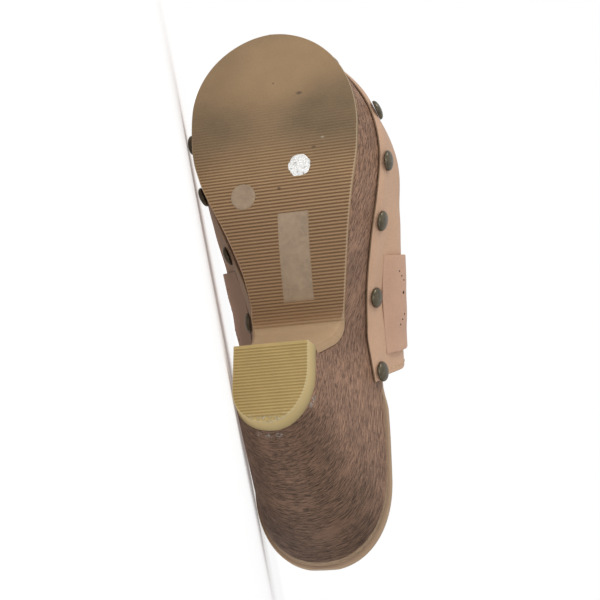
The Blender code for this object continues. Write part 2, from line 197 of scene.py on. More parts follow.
# Inside of the upper: crest is its height over the top edge, the bulges swell past that edge.
UPPER_ROWS = (
    # top_x, tilt, crest, crest_y, shoulder, bulge_lateral, bulge_medial
    (86.0, 31.0, 53.0, -1.0, 16.0, 5.2, 6.8),
    (102.0, 30.0, 51.0, -2.0, 16.0, 6.2, 9.4),
    (112.0, 28.0, 49.5, -3.0, 16.0, 7.2, 11.0),
    (122.0, 25.0, 47.5, -3.5, 15.5, 7.4, 11.0),
    (136.0, 21.0, 45.5, -4.5, 15.0, 6.2, 9.0),
    (148.0, 17.0, 44.0, -5.0, 14.0, 4.6, 7.4),
    (162.0, 11.0, 42.5, -6.0, 13.0, 2.5, 5.0),
    (180.0, 5.0, 41.0, -7.0, 11.5, 1.4, 1.8),
    (200.0, 0.0, 39.5, -8.0, 10.0, 0.6, 0.4),
    (248.3, 0.0, 36.0, -8.0, 9.0, 0.0, 0.0),
)

# Rounded ends of the outlines: where the round starts, and the powers that shape it.
TREAD_TOE = {"lateral": (182.0, 1.9, 0.55), "medial": (200.0, 2.0, 0.5)}
TOP_TOE = {"lateral": (176.0, 1.95, 0.88), "medial": (195.0, 2.0, 0.5)}
ROUND_BACK = (2.2, 0.45)
WALL_SWELL = ((118.0, 160.0), (205.0, 240.0), 0.9)
TOE_BELLY = ((176.0, 208.0), (228.0, 244.0), 0.9)
CREST_TOE = (185.0, 2.2, 0.5)
CREST_TIP = 3.0

# Stations of the studs, from the collar to the toe.
STUDS_X = {
    "lateral": (87.6, 117.0, 147.0, 173.0, 199.4, 232.0, 244.5),
    "medial": (87.6, 112.0, 140.0, 167.0, 194.0, 220.0, 240.0),
}

# Where the ribs of the tread run, and where they fade out towards the worn toe.
RIBS_FROM_X = 101.5
RIBS_TO_X = 214.0
RIBS_GROW_X = (101.0, 110.0)
RIBS_FADE_X = (140.0, 208.0)
TREAD_LIP = (2.9, 0.5)
TREAD_LIP_X = (98.0, 106.0)
LIP_TURNS = (0.12, 0.3, 0.5, 0.75, 1.0)
TREAD_TOP_INSET = 0.3
RIB_STEPS = (0.0, 0.46, 0.60, 0.86)
RIB_DEPTHS = (0.0, 0.0, 1.0, 1.0)

# Wear of the tread: middle and reach of each smudge, and its depth.
TREAD_SMUDGES = (
    ((191.0, 36.0), (34.0, 46.0), 0.9),
    ((190.0, -40.0), (32.0, 36.0), 0.8),
    ((188.0, 0.0), (18.0, 46.0), 0.45),
    ((226.0, -32.0), (22.0, 22.0), 0.4),
    ((250.0, -8.0), (16.0, 46.0), 0.35),
)
TREAD_SPECKS = (
    ((202.9, 9.7), (1.3, 2.0)),
    ((210.9, -3.2), (0.7, 0.8)),
    ((153.6, 1.5), (0.9, 1.2)),
    ((172.0, 17.5), (0.6, 1.5)),
)

# Whitish marks on the wood look beside the heel lift: place in the standing frame, and reach.
GLUE_MARKS = (
    ((54.8, 14.2, 9.4), 1.7),
    ((56.6, 14.9, 9.6), 1.9),
    ((58.2, 15.6, 9.6), 1.5),
    ((43.9, -8.6, 10.4), 2.0),
    ((43.2, -4.4, 10.8), 2.2),
    ((43.6, 0.4, 10.6), 2.0),
)

# Flat pieces on the tread, in plan: how proud they lie, and how deep their edges are sunk.
PANEL_ENDS = ((142.9, 7.0), (108.3, 4.6))
PANEL_WIDTH = 14.2
PANEL_PROUD = 0.14
PANEL_EDGE = (0.0, 0.03, 0.06)
PANEL_END = 0.025
SUNK = 0.3
DISC_CENTRE = (151.8, -15.3)
DISC_RADIUS = 5.6
DISC_RINGS = (
    # share of the radius, height over the tread
    (0.0, 0.16),
    (0.45, 0.16),
    (0.8, 0.16),
    (0.86, 0.30),
    (0.94, 0.30),
    (1.0, 0.16),
    (1.03, -SUNK),
)
FOIL_CENTRE = (163.6, 11.0)
FOIL_RADIUS = 5.2

# The floor's own glow: its strength, its grey near the clog and far away, and the metres between.
FLOOR_GLOW = 0.5
FLOOR_GLOW_NEAR = (0.4, 0.4, 0.4)
FLOOR_GLOW_FAR = (1.0, 1.0, 1.0)
FLOOR_GLOW_FROM = (0.25, 1.1)

# Colours of dirt and wear, and of painted shade on the heel lift and inside the punched holes.
CHALK = (0.56, 0.50, 0.44)
DIRT_SPECK = (0.070, 0.044, 0.028)
PALE_SCUFF = (0.6, 0.56, 0.5)
FRAYED_RUBBER = (0.74, 0.68, 0.52)
# Painted shade where the heel lift meets the sole.
LIFT_TOP_SHADE = (0.20, 0.13, 0.07)
FOIL_BACKING = (0.20, 0.18, 0.16)
BRASS_PIT = (0.09, 0.075, 0.05)
# Painted shade inside a punched hole.
HOLE_SHADE = (0.035, 0.021, 0.016)
HOLE_LINT = (0.075, 0.045, 0.033)


def length_property(name, description, default):
    return bpy.props.FloatProperty(
        name=name,
        description=description,
        default=default,
        unit="LENGTH",
    )


class ClogSizes(bpy.types.PropertyGroup):
    """Sizes of the details that dress the clog."""

    rib_pitch: length_property("Rib pitch", "Distance from rib to rib of the tread", 0.00153)
    rib_depth: length_property("Rib depth", "Depth of the grooves between the ribs", 0.00055)
    lift_rib_pitch: length_property("Lift rib pitch", "Distance from rib to rib of the heel lift", 0.00142)
    edge_round: length_property("Edge round", "Radius of the moulded edges of the sole", 0.0006)
    leather: length_property("Upper leather", "Thickness of the leather of the upper", 0.002)
    strap_leather: length_property("Strap leather", "Thickness of the saddle strap", 0.0018)
    stud_radius: length_property("Stud radius", "Radius of a nail head", 0.0047)
    stud_rise: length_property("Stud rise", "Height of a nail head over the leather", 0.0025)
    stitch_length: length_property("Stitch length", "Length of one stitch along the collar", 0.0021)
    stitch_pitch: length_property("Stitch pitch", "Distance from stitch to stitch", 0.0030)
    hole_radius: length_property("Punched hole", "Radius of the small punched holes of the strap", 0.00042)


def colour_property(name, description, default):
    return bpy.props.FloatVectorProperty(
        name=name,
        description=description,
        default=default,
        subtype="COLOR",
        size=3,
        min=0.0,
        max=1.0,
    )


class ClogColours(bpy.types.PropertyGroup):
    """Colours of the finishes of the clog."""

    wood: colour_property("Wood look", "Ground of the wood-look sole", (0.380, 0.214, 0.134))
    wood_pore: colour_property("Wood pores", "Dark streaks of the wood look", (0.098, 0.053, 0.033))
    rubber: colour_property("Tread rubber", "Ribs of the tread", (0.322, 0.206, 0.107))
    rubber_arch: colour_property("Arch rubber", "Ribs under the arch", (0.350, 0.214, 0.113))
    # Tan of the breast, brightened with painted light where the heel shades it.
    rubber_breast_and_light: colour_property("Breast rubber", "Plain curve to the heel", (0.487, 0.334, 0.197))
    # Painted shade in the grooves of the tread.
    rubber_groove_shade: colour_property("Tread groove", "Grooves of the tread", (0.150, 0.085, 0.043))
    rubber_smudge: colour_property("Tread smudge", "Worn grey of the tread", (0.140, 0.097, 0.054))
    # Pale rubbed rim of the tread, which also serves as a painted highlight along its edge.
    rubber_rim_and_highlight: colour_property("Tread rim", "Rubbed edge of the tread", (0.520, 0.385, 0.260))
    lift: colour_property("Lift rubber", "Ribs of the heel lift", (0.437, 0.313, 0.124))
    # Painted shade in the grooves of the heel lift.
    lift_groove_shade: colour_property("Lift groove", "Grooves of the heel lift", (0.370, 0.260, 0.101))
    lift_side: colour_property("Lift side", "Upright side of the heel lift", (0.550, 0.412, 0.187))
    lift_edge: colour_property("Lift edge", "Pale edge of the heel lift", (0.700, 0.600, 0.370))
    panel: colour_property("Bare panel", "Flat panel and disc of the tread", (0.352, 0.258, 0.174))
    foil: colour_property("Foil", "Scrap of silver foil", (0.93, 0.93, 0.91))
    footbed: colour_property("Footbed", "Leather of the footbed", (0.440, 0.300, 0.190))
    # Painted shade under the footbed's rim.
    footbed_under_shade: colour_property("Footbed under shade", "Underside of the footbed", (0.34, 0.225, 0.145))
    leather: colour_property("Upper leather", "Leather of the upper", (0.600, 0.378, 0.249))
    # Painted shade: the grey that darkens the medial side of the leather.
    leather_medial_shade: colour_property("Medial leather shade", "Grey of the medial side", (0.200, 0.190, 0.165))
    strap: colour_property("Strap leather", "Leather of the saddle strap", (0.588, 0.359, 0.246))
    raw_edge: colour_property("Raw edge", "Cut edge of the leather", (0.180, 0.120, 0.076))
    stud: colour_property("Stud", "Antique brass of the nail heads", (0.140, 0.116, 0.073))
    thread: colour_property("Thread", "Stitching of the collar", (0.600, 0.430, 0.260))
    floor: colour_property("Floor", "Plain pale floor", (0.94, 0.94, 0.94))


def sizes():
    return bpy.context.scene.clog_sizes


def colours():
    return bpy.context.scene.clog_colours


@functools.lru_cache(maxsize=None)
def grades(rows, column):
    """Slopes of a monotone cubic through one column of a table."""
    xs = [row[0] for row in rows]
    ys = [row[column] for row in rows]
    width = [b - a for a, b in zip(xs, xs[1:])]
    slope = [(b - a) / w for a, b, w in zip(ys, ys[1:], width)]
    out = [slope[0]]
    for i in range(1, len(xs) - 1):
        grade = 0.0
        if slope[i - 1] * slope[i] > 0:
            before = 2 * width[i] + width[i - 1]
            after = width[i] + 2 * width[i - 1]
            grade = (before + after) / (before / slope[i - 1] + after / slope[i])
        out.append(grade)
    return xs, ys, width, out + [slope[-1]]


@functools.lru_cache(maxsize=None)
def smooth(rows, column, x):
    """Value at x of the monotone cubic through one column of a table."""
    xs, ys, width, grade = grades(rows, column)
    x = min(max(x, xs[0]), xs[-1])
    i = min(bisect.bisect_right(xs, x) - 1, len(width) - 1)
    t = (x - xs[i]) / width[i]
    hold = (1 + 2 * t) * (1 - t) ** 2 * ys[i] + t * t * (3 - 2 * t) * ys[i + 1]
    lean = t * (1 - t) ** 2 * grade[i] - t * t * (1 - t) * grade[i + 1]
    return hold + width[i] * lean


def rounding(x, start, end, power, root):
    """1 up to start, falling to 0 at end along a superellipse."""
    t = min(max((x - start) / (end - start), 0.0), 1.0)
    return (1.0 - t**power) ** root


def ramp(x, low, high):
    """0 up to low, 1 from high on, smooth between."""
    t = min(max((x - low) / (high - low), 0.0), 1.0)
    return t * t * (3 - 2 * t)


def tread_y(x, table_y, side, grow=0.0):
    """Y of the tread's edge, rounded off at the toe and drawn out by grow."""
    start, power, root = TREAD_TOE[side]
    grown = table_y + math.copysign(1.0, table_y) * grow
    tip = TREAD_TIP_X + min(grow, 0.0)
    return TIP_Y + (grown - TIP_Y) * rounding(x, start, tip, power, root)


@functools.lru_cache(maxsize=None)
def top_y(x, side, grow=0.0, tip=TOP_TIP_X):
    """Y of the sole's top edge, drawn out by grow."""
    y = smooth(TOP_ROWS, 2 if side == "lateral" else 3, x)
    y += math.copysign(1.0, y) * grow
    start, power, root = TOP_TOE[side]
    y = TIP_Y + (y - TIP_Y) * rounding(x, start, tip + grow, power, root)
    share = rounding(-x, -HEEL_WIDEST_X, grow - HEEL_BACK_X, *ROUND_BACK)
    return HEEL_CENTRE_Y + (y - HEEL_CENTRE_Y) * share


def top_z(x):
    return smooth(TOP_ROWS, 1, x)


@functools.lru_cache(maxsize=None)
def tread_line(top_x, depth=0.0, grow=0.0):
    """Point and edges of the tread under a section, moved into the sole by depth."""
    x = smooth(TREAD_ROWS, 1, top_x)
    z = smooth(TREAD_ROWS, 2, top_x)
    lateral = tread_y(x, smooth(TREAD_ROWS, 3, top_x), "lateral", grow)
    medial = tread_y(x, smooth(TREAD_ROWS, 4, top_x), "medial", grow)
    step = 0.2
    ahead = (smooth(TREAD_ROWS, 1, top_x + step), smooth(TREAD_ROWS, 2, top_x + step))
    behind = (smooth(TREAD_ROWS, 1, top_x - step), smooth(TREAD_ROWS, 2, top_x - step))
    along = Vector((ahead[0] - behind[0], ahead[1] - behind[1])).normalized()
    inward = Vector((-along.y, along.x)) if x < UPRIGHT_FROM_X else Vector((0.0, 1.0))
    return x + inward.x * depth, z + inward.y * depth, lateral, medial


def lift_share(x, side):
    """How much of its half width the heel lift keeps at x, on one side."""
    start, power, root = LIFT_ROUND[side]
    return rounding(-x, -start, -LIFT_BACK_X, power, root)


@functools.lru_cache(maxsize=None)
def sole_foot(top_x, grow=0.0):
    """Lower edge of the sole unit: over the outsole, then over the heel lift."""
    if top_x >= TONGUE_X:
        return tread_line(top_x, OUTSOLE_THICKNESS + GAP, grow)
    x, z, lateral, medial = tread_line(TONGUE_X, OUTSOLE_THICKNESS + GAP, grow)
    seat = LIFT_HEIGHT + GAP
    if top_x >= SEAT_FRONT_X:
        t = (top_x - SEAT_FRONT_X) / (TONGUE_X - SEAT_FRONT_X)
        return x, seat + (z - seat) * t, lateral, medial
    start = HEEL_WIDEST_X
    if top_x >= start:
        t = (top_x - start) / (SEAT_FRONT_X - start)
        foot = LIFT_WIDEST_X + (x - LIFT_WIDEST_X) * t
    else:
        back = max(top_x - HEEL_BACK_X, 0.0) / (start - HEEL_BACK_X)
        foot = LIFT_BACK_X + (LIFT_WIDEST_X - LIFT_BACK_X) * back
    lateral = LIFT_CENTRE_Y + (lateral - LIFT_CENTRE_Y) * lift_share(foot, "lateral")
    medial = LIFT_CENTRE_Y + (medial - LIFT_CENTRE_Y) * lift_share(foot, "medial")
    return foot, seat, lateral, medial


def wall(top_x, height, side, grow=0.0):
    """Point on the sole's side wall: height 0 at the lower edge, 1 at the top edge."""
    grows, fades, most = TOE_BELLY
    belly = most * ramp(top_x, *grows) * (1.0 - ramp(top_x, *fades)) if side == "lateral" else 0.0
    grow += belly * math.sin(math.pi * min(max(height, 0.0), 1.0))
    reach = grow * max(top_x - TOE_X, 0.0) / (TOP_TIP_X + grow - TOE_X)
    x, z, lateral, medial = sole_foot(top_x - reach, grow)
    low = Vector((x + reach, lateral if side == "lateral" else medial, z))
    high = Vector((top_x, top_y(top_x, side, grow), top_z(top_x)))
    grows, fades, most = WALL_SWELL
    swell = 1.0 + most * ramp(top_x, *grows) * (1.0 - ramp(top_x, *fades))
    place = low.lerp(high, height)
    place.y = high.y + (low.y - high.y) * max(1.0 - height, 0.0) ** swell
    return place


def wall_height(top_x):
    return top_z(top_x) - sole_foot(top_x)[1]


def upper_point(top_x, t):
    """Inside of the upper. t runs -1 lateral lower edge, 0 crest, 1 medial lower edge."""
    side = "lateral" if t < 0 else "medial"
    tilt = math.radians(smooth(UPPER_ROWS, 1, top_x))
    start, power, root = CREST_TOE
    closing = rounding(top_x, start, TOP_TIP_X + GAP, power, root)
    crest = CREST_TIP + (smooth(UPPER_ROWS, 2, top_x) - CREST_TIP) * closing
    shoulder = min(smooth(UPPER_ROWS, 4, top_x), SHOULDER_MOST * crest)
    edge = top_y(top_x, side, GAP)
    bulge = smooth(UPPER_ROWS, 5 if side == "lateral" else 6, top_x)
    widest = edge + math.copysign(bulge, 1.0 if side == "lateral" else -1.0)
    crest_y = smooth(UPPER_ROWS, 3, top_x)
    if closing == 0.0:
        widest = edge
        crest_y = edge
    s = 1.0 - abs(t)
    if s < EDGE_SHARE:
        down = BAND_DEPTH * (1.0 - s / EDGE_SHARE)
        station = top_x - down * math.sin(tilt)
        drop = top_z(station) - top_z(top_x) + down * math.cos(tilt)
        return wall(station, 1.0 - drop / wall_height(station), side, GAP)
    if s < SHOULDER_SHARE:
        rise = (s - EDGE_SHARE) / (SHOULDER_SHARE - EDGE_SHARE)
        y = edge + (widest - edge) * (0.2 * rise + 0.8 * ramp(rise, 0.0, 1.0))
        up = shoulder * rise
    else:
        turn = 0.5 * math.pi * (s - SHOULDER_SHARE) / (1.0 - SHOULDER_SHARE)
        y = crest_y + (widest - crest_y) * math.cos(turn) ** 0.9
        up = shoulder + (crest - shoulder) * math.sin(turn) ** 0.92
    return Vector((top_x + up * math.sin(tilt), y, top_z(top_x) + up * math.cos(tilt)))


def upper_skin(top_x, t, lift):
    """Point lift outside the inner face of the upper, with the directions out and round the foot."""
    step_x = 0.4
    step_t = 0.004
    place = upper_point(top_x, t)
    ahead = upper_point(top_x + step_x, t) - upper_point(top_x - step_x, t)
    round_it = upper_point(top_x, t + step_t) - upper_point(top_x, t - step_t)
    out = ahead.cross(round_it).normalized()
    inside = Vector((top_x, -4.0, top_z(top_x) + 8.0))
    if out.dot(place - inside) < 0:
        out.negate()
    return place + out * lift, out, round_it.normalized()


def laid(point):
    """Lays a point of the standing frame down into the row frame, in metres."""
    return (LAID_DOWN @ Vector(point)) * MM


def laid_turn(vector):
    """Turns a direction of the standing frame into the row frame."""
    return LAID_DOWN.to_3x3() @ Vector(vector)


def seated(place, out, along):
    """Sets a small shape on the leather, its Z pointing outwards and its X along."""
    turn = Matrix((laid_turn(along), laid_turn(out.cross(along)), laid_turn(out)))
    return Matrix.Translation(laid(place)) @ turn.transposed().to_4x4()


def spread(low, high, count):
    """Even steps from low to high."""
    return [low + (high - low) * i / count for i in range(count + 1)]


def towards_end(start, end, count):
    """Stations that crowd towards a rounded end."""
    return [start + (end - start) * math.sin(0.5 * math.pi * i / count) for i in range(count + 1)]


def from_end(end, stop, count):
    """Stations that crowd away from a rounded end."""
    return towards_end(stop, end, count)[::-1]


def stations(low, *runs):
    """Joins runs of stations, each starting where the last ended."""
    out = [low]
    for run in runs:
        out += run[1:]
    return out


def add_piece(name, bm, finishes, nodes=(), smooth_angle=0.6):
    """Turns a bmesh into a piece that rides on the clog and wears the finishes."""
    mesh = bpy.data.meshes.new(name)
    for face in bm.faces:
        face.smooth = True
    for edge in bm.edges:
        sharp = len(edge.link_faces) == 2 and edge.calc_face_angle(0.0) > smooth_angle
        edge.smooth = not sharp
    bm.to_mesh(mesh)
    bm.free()
    for finish in finishes:
        mesh.materials.append(finish)
    piece = bpy.data.objects.new(name, mesh)
    bpy.context.scene.collection.objects.link(piece)
    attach(piece, "root")
    if nodes:
        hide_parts(*nodes)
    return piece


def lay_sheet(columns, rows, point, maps=(), looped=False, weight=None):
    """A grid laid on point(column, row).

    maps names UV maps and gives their two values; weight gives each point's share of the full
    thickness of a leather wall.
    """
    bm = bmesh.new()
    wide = len(columns) - 1
    long = len(rows) - 1
    bmesh.ops.create_grid(bm, x_segments=wide, y_segments=long, size=1.0)
    shares = bm.verts.layers.deform.verify() if weight else None
    spots = {}
    for vert in bm.verts:
        column = columns[round((vert.co.x + 1.0) / 2.0 * wide)]
        row = rows[round((vert.co.y + 1.0) / 2.0 * long)]
        spots[vert] = (column, row)
    for name, value in maps:
        layer = bm.loops.layers.uv.new(name)
        known = {vert: value(*spot) for vert, spot in spots.items()}
        for face in bm.faces:
            for loop in face.loops:
                loop[layer].uv = known[loop.vert]
    for vert, spot in spots.items():
        vert.co = laid(point(*spot))
        if weight:
            vert[shares][0] = weight(*spot)
    bmesh.ops.remove_doubles(bm, verts=bm.verts, dist=WELD)
    bmesh.ops.dissolve_degenerate(bm, edges=bm.edges, dist=WELD)
    if looped:
        bmesh.ops.holes_fill(bm, edges=[e for e in bm.edges if e.is_boundary], sides=0)
    bmesh.ops.recalc_face_normals(bm, faces=bm.faces)
    return bm


def plan_map(point):
    """Gives each point of a piece its plan position in the standing frame."""

    def plan(column, row):
        x, y, _ = point(column, row)
        return x * UV_UNIT, y * UV_UNIT

    return plan


class Wire:
    """An output socket that can be used in sums."""

    def __init__(self, finish, socket):
        self.finish = finish
        self.socket = socket

    def sum(self, operation, *values):
        return self.finish.node("ShaderNodeMath", {"operation": operation}, values)

    def __add__(self, other):
        return self.sum("ADD", self, other)

    __radd__ = __add__

    def __sub__(self, other):
        return self.sum("SUBTRACT", self, other)

    def __rsub__(self, other):
        return self.sum("SUBTRACT", other, self)

    def __mul__(self, other):
        return self.sum("MULTIPLY", self, other)

    __rmul__ = __mul__

    def __truediv__(self, other):
        return self.sum("DIVIDE", self, other)

    def __pow__(self, other):
        return self.sum("POWER", self, other)

    def __abs__(self):
        return self.sum("ABSOLUTE", self)

    def clip(self):
        return self.sum("MAXIMUM", self.sum("MINIMUM", self, 1.0), 0.0)


class Finish:
    """One node-based material of the clog."""

    def __init__(self, name, specular, metallic=0.0):
        self.material = bpy.data.materials.new(name)
        self.material.use_nodes = True
        self.tree = self.material.node_tree
        self.shader = self.tree.nodes["Principled BSDF"]
        self.shader.inputs["Metallic"].default_value = metallic
        self.shader.inputs["Specular IOR Level"].default_value = specular

    def node(self, kind, settings, inputs, output=0):
        """Adds a node; settings are set first, then its sockets by number or name."""
        node = self.tree.nodes.new(kind)
        for key, value in settings.items():
            setattr(node, key, value)
        pairs = inputs.items() if isinstance(inputs, dict) else enumerate(inputs)
        for key, value in pairs:
            self.feed(node.inputs[key], value)
        return Wire(self, node.outputs[output])

    def feed(self, socket, value):
        if isinstance(value, Wire):
            self.tree.links.new(value.socket, socket)
        elif hasattr(value, "__len__") and len(value) == 3 and len(socket.default_value) == 4:
            socket.default_value = (*value, 1.0)
        else:
            socket.default_value = value

    def object_place(self):
        return self.node("ShaderNodeTexCoord", {}, (), "Object")

    def map_values(self, name):
        """The two values of one of the piece's own UV maps, in millimetres."""
        uv = self.node("ShaderNodeUVMap", {"uv_map": name}, ())
        u = self.node("ShaderNodeSeparateXYZ", {}, (uv,))
        v = Wire(self, u.socket.node.outputs[1])
        return u * (1.0 / UV_UNIT), v * (1.0 / UV_UNIT)

    def vector(self, x, y, z=0.0):
        return self.node("ShaderNodeCombineXYZ", {}, (x, y, z))

    def noise(self, vector, scale, detail=3.0, roughness=0.5, distortion=0.0):
        return self.node(
            "ShaderNodeTexNoise",
            {},
            {
                "Vector": vector,
                "Scale": scale,
                "Detail": detail,
                "Roughness": roughness,
                "Distortion": distortion,
            },
        )

    def cells(self, vector, scale, feature="F1"):
        return self.node(
            "ShaderNodeTexVoronoi",
            {"feature": feature},
            {"Vector": vector, "Scale": scale},
        )

    def fade(self, value, low, high):
        """0 at low, 1 at high, smooth between, also where low is the greater."""
        return self.node(
            "ShaderNodeMapRange",
            {"interpolation_type": "SMOOTHSTEP"},
            {"Value": value, "From Min": low, "From Max": high},
        )

    def mix(self, factor, a, b, blend="MIX"):
        settings = {"data_type": "RGBA", "blend_type": blend}
        return self.node("ShaderNodeMix", settings, {0: factor, 6: a, 7: b}, 2)

    def shade(self, colour, factor):
        """The colour made darker or brighter by a factor that varies."""
        grey = self.node("ShaderNodeCombineColor", {}, (factor, factor, factor))
        return self.mix(1.0, colour, grey, "MULTIPLY")

    def spot(self, u, v, centre, reach):
        """1 in the middle of a soft round spot on a map, 0 outside reach."""
        du = (u - centre[0]) / reach[0]
        dv = (v - centre[1]) / reach[1]
        return self.fade((du * du + dv * dv) ** 0.5, 1.0, 0.25)

    def near(self, point, reach):
        """1 at a point given in the standing frame, 0 beyond reach millimetres of it."""
        away = self.node(
            "ShaderNodeVectorMath",
            {"operation": "DISTANCE"},
            (self.object_place(), laid(point)),
            "Value",
        )
        return self.fade(away, reach * MM, 0.3 * reach * MM)

    def bump(self, height, depth):
        inputs = {"Strength": 1.0, "Distance": depth, "Height": height}
        return self.node("ShaderNodeBump", {}, inputs)

    def wear(self, colour=None, roughness=None, normal=None, metallic=None):
        for key, value in (
            ("Base Color", colour),
            ("Roughness", roughness),
            ("Normal", normal),
            ("Metallic", metallic),
        ):
            if value is not None:
                self.feed(self.shader.inputs[key], value)
        return self.material


def toned(colour, factor):
    """A colour made darker or brighter by a number."""
    return [min(c * factor, 1.0) for c in colour]


def wood_look():
    """Moulded brown sole with wavy dark pores that run round it.

    Painted shade darkens the back of the heel, most just under the rim, and the lateral arch; painted
    light brightens the medial side. A tan wrap shows under the footbed at the back.
    """
    look = Finish("wood_look", specular=0.3)
    tint = colours()
    # Millimetres round the sole from the middle of the back, lateral side positive.
    around, rise = look.map_values("grain")
    deep, _ = look.map_values("brim")
    drift = look.noise(look.vector(around * 0.035, rise * 0.05), 1.0, 2.0)
    wave = look.noise(look.vector(around * 0.24, rise * 0.22, 5.0), 1.0, 2.0)
    sway = rise + drift * 2.4 + wave * 0.7
    broken = look.noise(look.vector(around * 0.15, sway * 1.9), 1.0, 3.0, 0.55, 0.1)
    fine = look.noise(look.vector(around * 0.32, sway * 3.2, 9.0), 1.0, 3.0, 0.6, 0.1)
    cloud = look.noise(look.vector(around * 0.05, rise * 0.07, 2.0), 1.0, 3.0)
    bare = look.fade(cloud, 0.56, 0.74)
    pores = look.fade(broken, 0.51, 0.56) * (1.0 - 0.75 * bare)
    lines = look.fade(fine, 0.52, 0.57) * (1.0 - 0.6 * bare)
    ground = look.mix(look.fade(cloud, 0.36, 0.66), tint.wood, toned(tint.wood, 1.22))
    dark = (0.08 + pores * 0.52 + lines * 0.36).clip()
    colour = look.mix(dark, ground, tint.wood_pore)
    # Painted light and shade: darker at the back of the heel and most just under the rim there, darker on
    # the lateral arch, lighter on the medial side.
    back = look.fade(abs(around), 54.0, 16.0)
    painted_medial_light = look.fade(around, -14.0, -48.0)
    arch = look.fade(around, 78.0, 96.0) * look.fade(around, 150.0, 125.0)
    painted_rim_shade = look.fade(deep, 34.0, 8.0)
    light = 1.03 - back * (0.48 + 0.14 * painted_rim_shade) + 0.5 * painted_medial_light - 0.2 * arch
    colour = look.shade(colour, light)
    wrap_depth = 0.7 + 1.5 * look.fade(abs(around), 60.0, 12.0)
    wrap = look.fade(deep - wrap_depth, 0.7, 0.0) * look.fade(abs(around), 96.0, 84.0)
    colour = look.mix(wrap, colour, toned(tint.footbed, 0.86))
    chalk = look.noise(look.object_place(), 900.0, 3.0, 0.7)
    marks = 0.0
    for point, size in GLUE_MARKS:
        marks = look.near(point, size) + marks
    marks = (marks.clip() * look.fade(chalk, 0.42, 0.60)).clip()
    colour = look.mix(marks * 0.6, colour, CHALK)
    normal = look.bump(1.0 - dark + marks, 0.0003)
    return look.wear(colour, 0.46 + 0.22 * dark, normal)


def tread_rubber():
    """Brown crepe rubber with painted shade in its grooves, worn smooth and grey under the ball and toe.
    """
    look = Finish("tread_rubber", specular=0.3)
    tint = colours()
    x, y = look.map_values("plan")
    # Both are 0 on plain rubber, and 1 on the rim or at the bottom of a groove.
    rim, groove = look.map_values("ribs")
    place = look.object_place()
    cloud = look.noise(place, 55.0, 4.0)
    fine = look.noise(place, 900.0, 3.0, 0.6)
    colour = look.mix(look.fade(cloud, 0.3, 0.7), tint.rubber, toned(tint.rubber, 0.90))
    arch = look.fade(x, 172.0, 128.0)
    colour = look.mix(arch * 0.8, colour, tint.rubber_arch)
    # The breast's tan is partly its own colour and partly painted light against the heel's shade.
    breast = look.fade(x, 103.0, 98.0)
    colour = look.mix(breast, colour, tint.rubber_breast_and_light)
    smudge = 0.0
    for centre, reach, depth in TREAD_SMUDGES:
        smudge = look.spot(x, y, centre, reach) * depth + smudge
    patchy = 0.62 + 0.55 * look.noise(place, 120.0, 4.0)
    colour = look.mix((smudge.clip() * patchy).clip() * 0.85, colour, tint.rubber_smudge)
    specks = 0.0
    for centre, reach in TREAD_SPECKS:
        specks = look.spot(x, y, centre, reach) + specks
    colour = look.mix((specks * 0.75).clip(), colour, DIRT_SPECK)
    scuff = look.spot(x, y, (176.5, 21.5), (0.8, 1.2))
    colour = look.mix(scuff * 0.35, colour, PALE_SCUFF)
    # Painted shade: the grooves are darkened.
    colour = look.mix((groove * 0.62).clip(), colour, tint.rubber_groove_shade)
    # The pale rim is rubbed wear and also a painted highlight along the tread's edge.
    colour = look.mix((rim * 0.55 * (1.0 - breast)).clip(), colour, tint.rubber_rim_and_highlight)
    colour = look.mix((rim * 0.5 * breast).clip(), colour, tint.rubber_arch)
    middle = look.fade(x, 136.0, 150.0) * look.fade(x, 178.0, 162.0)
    colour = look.shade(colour, 0.93 + 0.14 * fine + 0.12 * middle)
    normal = look.bump(fine * 0.6 + cloud, 0.00018)
    return look.wear(colour, 0.60 + 0.16 * cloud, normal)


def lift_rubber():
    """Olive-tan rubber with a pale edge, frayed at the back, with painted shade in its grooves and up its
    side towards the sole.
    """
    look = Finish("lift_rubber", specular=0.32)
    tint = colours()
    x, _ = look.map_values("plan")
    # Millimetres up the side, below 0 underneath, and 1 at the bottom of a groove.
    rise, groove = look.map_values("ribs")
    place = look.object_place()
    cloud = look.noise(place, 90.0, 4.0)
    fine = look.noise(place, 1100.0, 3.0, 0.6)
    colour = look.mix(look.fade(cloud, 0.3, 0.7), tint.lift, toned(tint.lift, 0.92))
    # Painted shade: the grooves are darkened.
    colour = look.mix((groove * 0.35).clip(), colour, tint.lift_groove_shade)
    side = look.fade(rise, 0.3, 1.0)
    colour = look.mix(side, colour, tint.lift_side)
    edge = look.fade(rise, -0.7, 0.1) * look.fade(rise, 1.1, 0.3)
    colour = look.mix(edge * (0.2 + 0.4 * cloud), colour, tint.lift_edge)
    frayed = look.fade(look.noise(place, 760.0, 4.0, 0.7), 0.52, 0.62)
    fray = frayed * look.fade(x, 50.5, 46.5) * look.fade(rise, 1.2, 0.3)
    colour = look.mix((fray * 0.8).clip(), colour, FRAYED_RUBBER)
    # Painted shade: the lift darkens up its side towards the sole, and in patches just under it.
    colour = look.shade(colour, 1.06 - 0.24 * look.fade(rise, 1.0, 7.5))
    lift_top_shade = look.fade(rise, 5.5, 8.0) * look.noise(place, 260.0)
    colour = look.mix(lift_top_shade * 0.7, colour, LIFT_TOP_SHADE)
    normal = look.bump(fine * 0.5 + fray * 2.0, 0.00015)
    return look.wear(colour, 0.5 + 0.2 * cloud, normal)


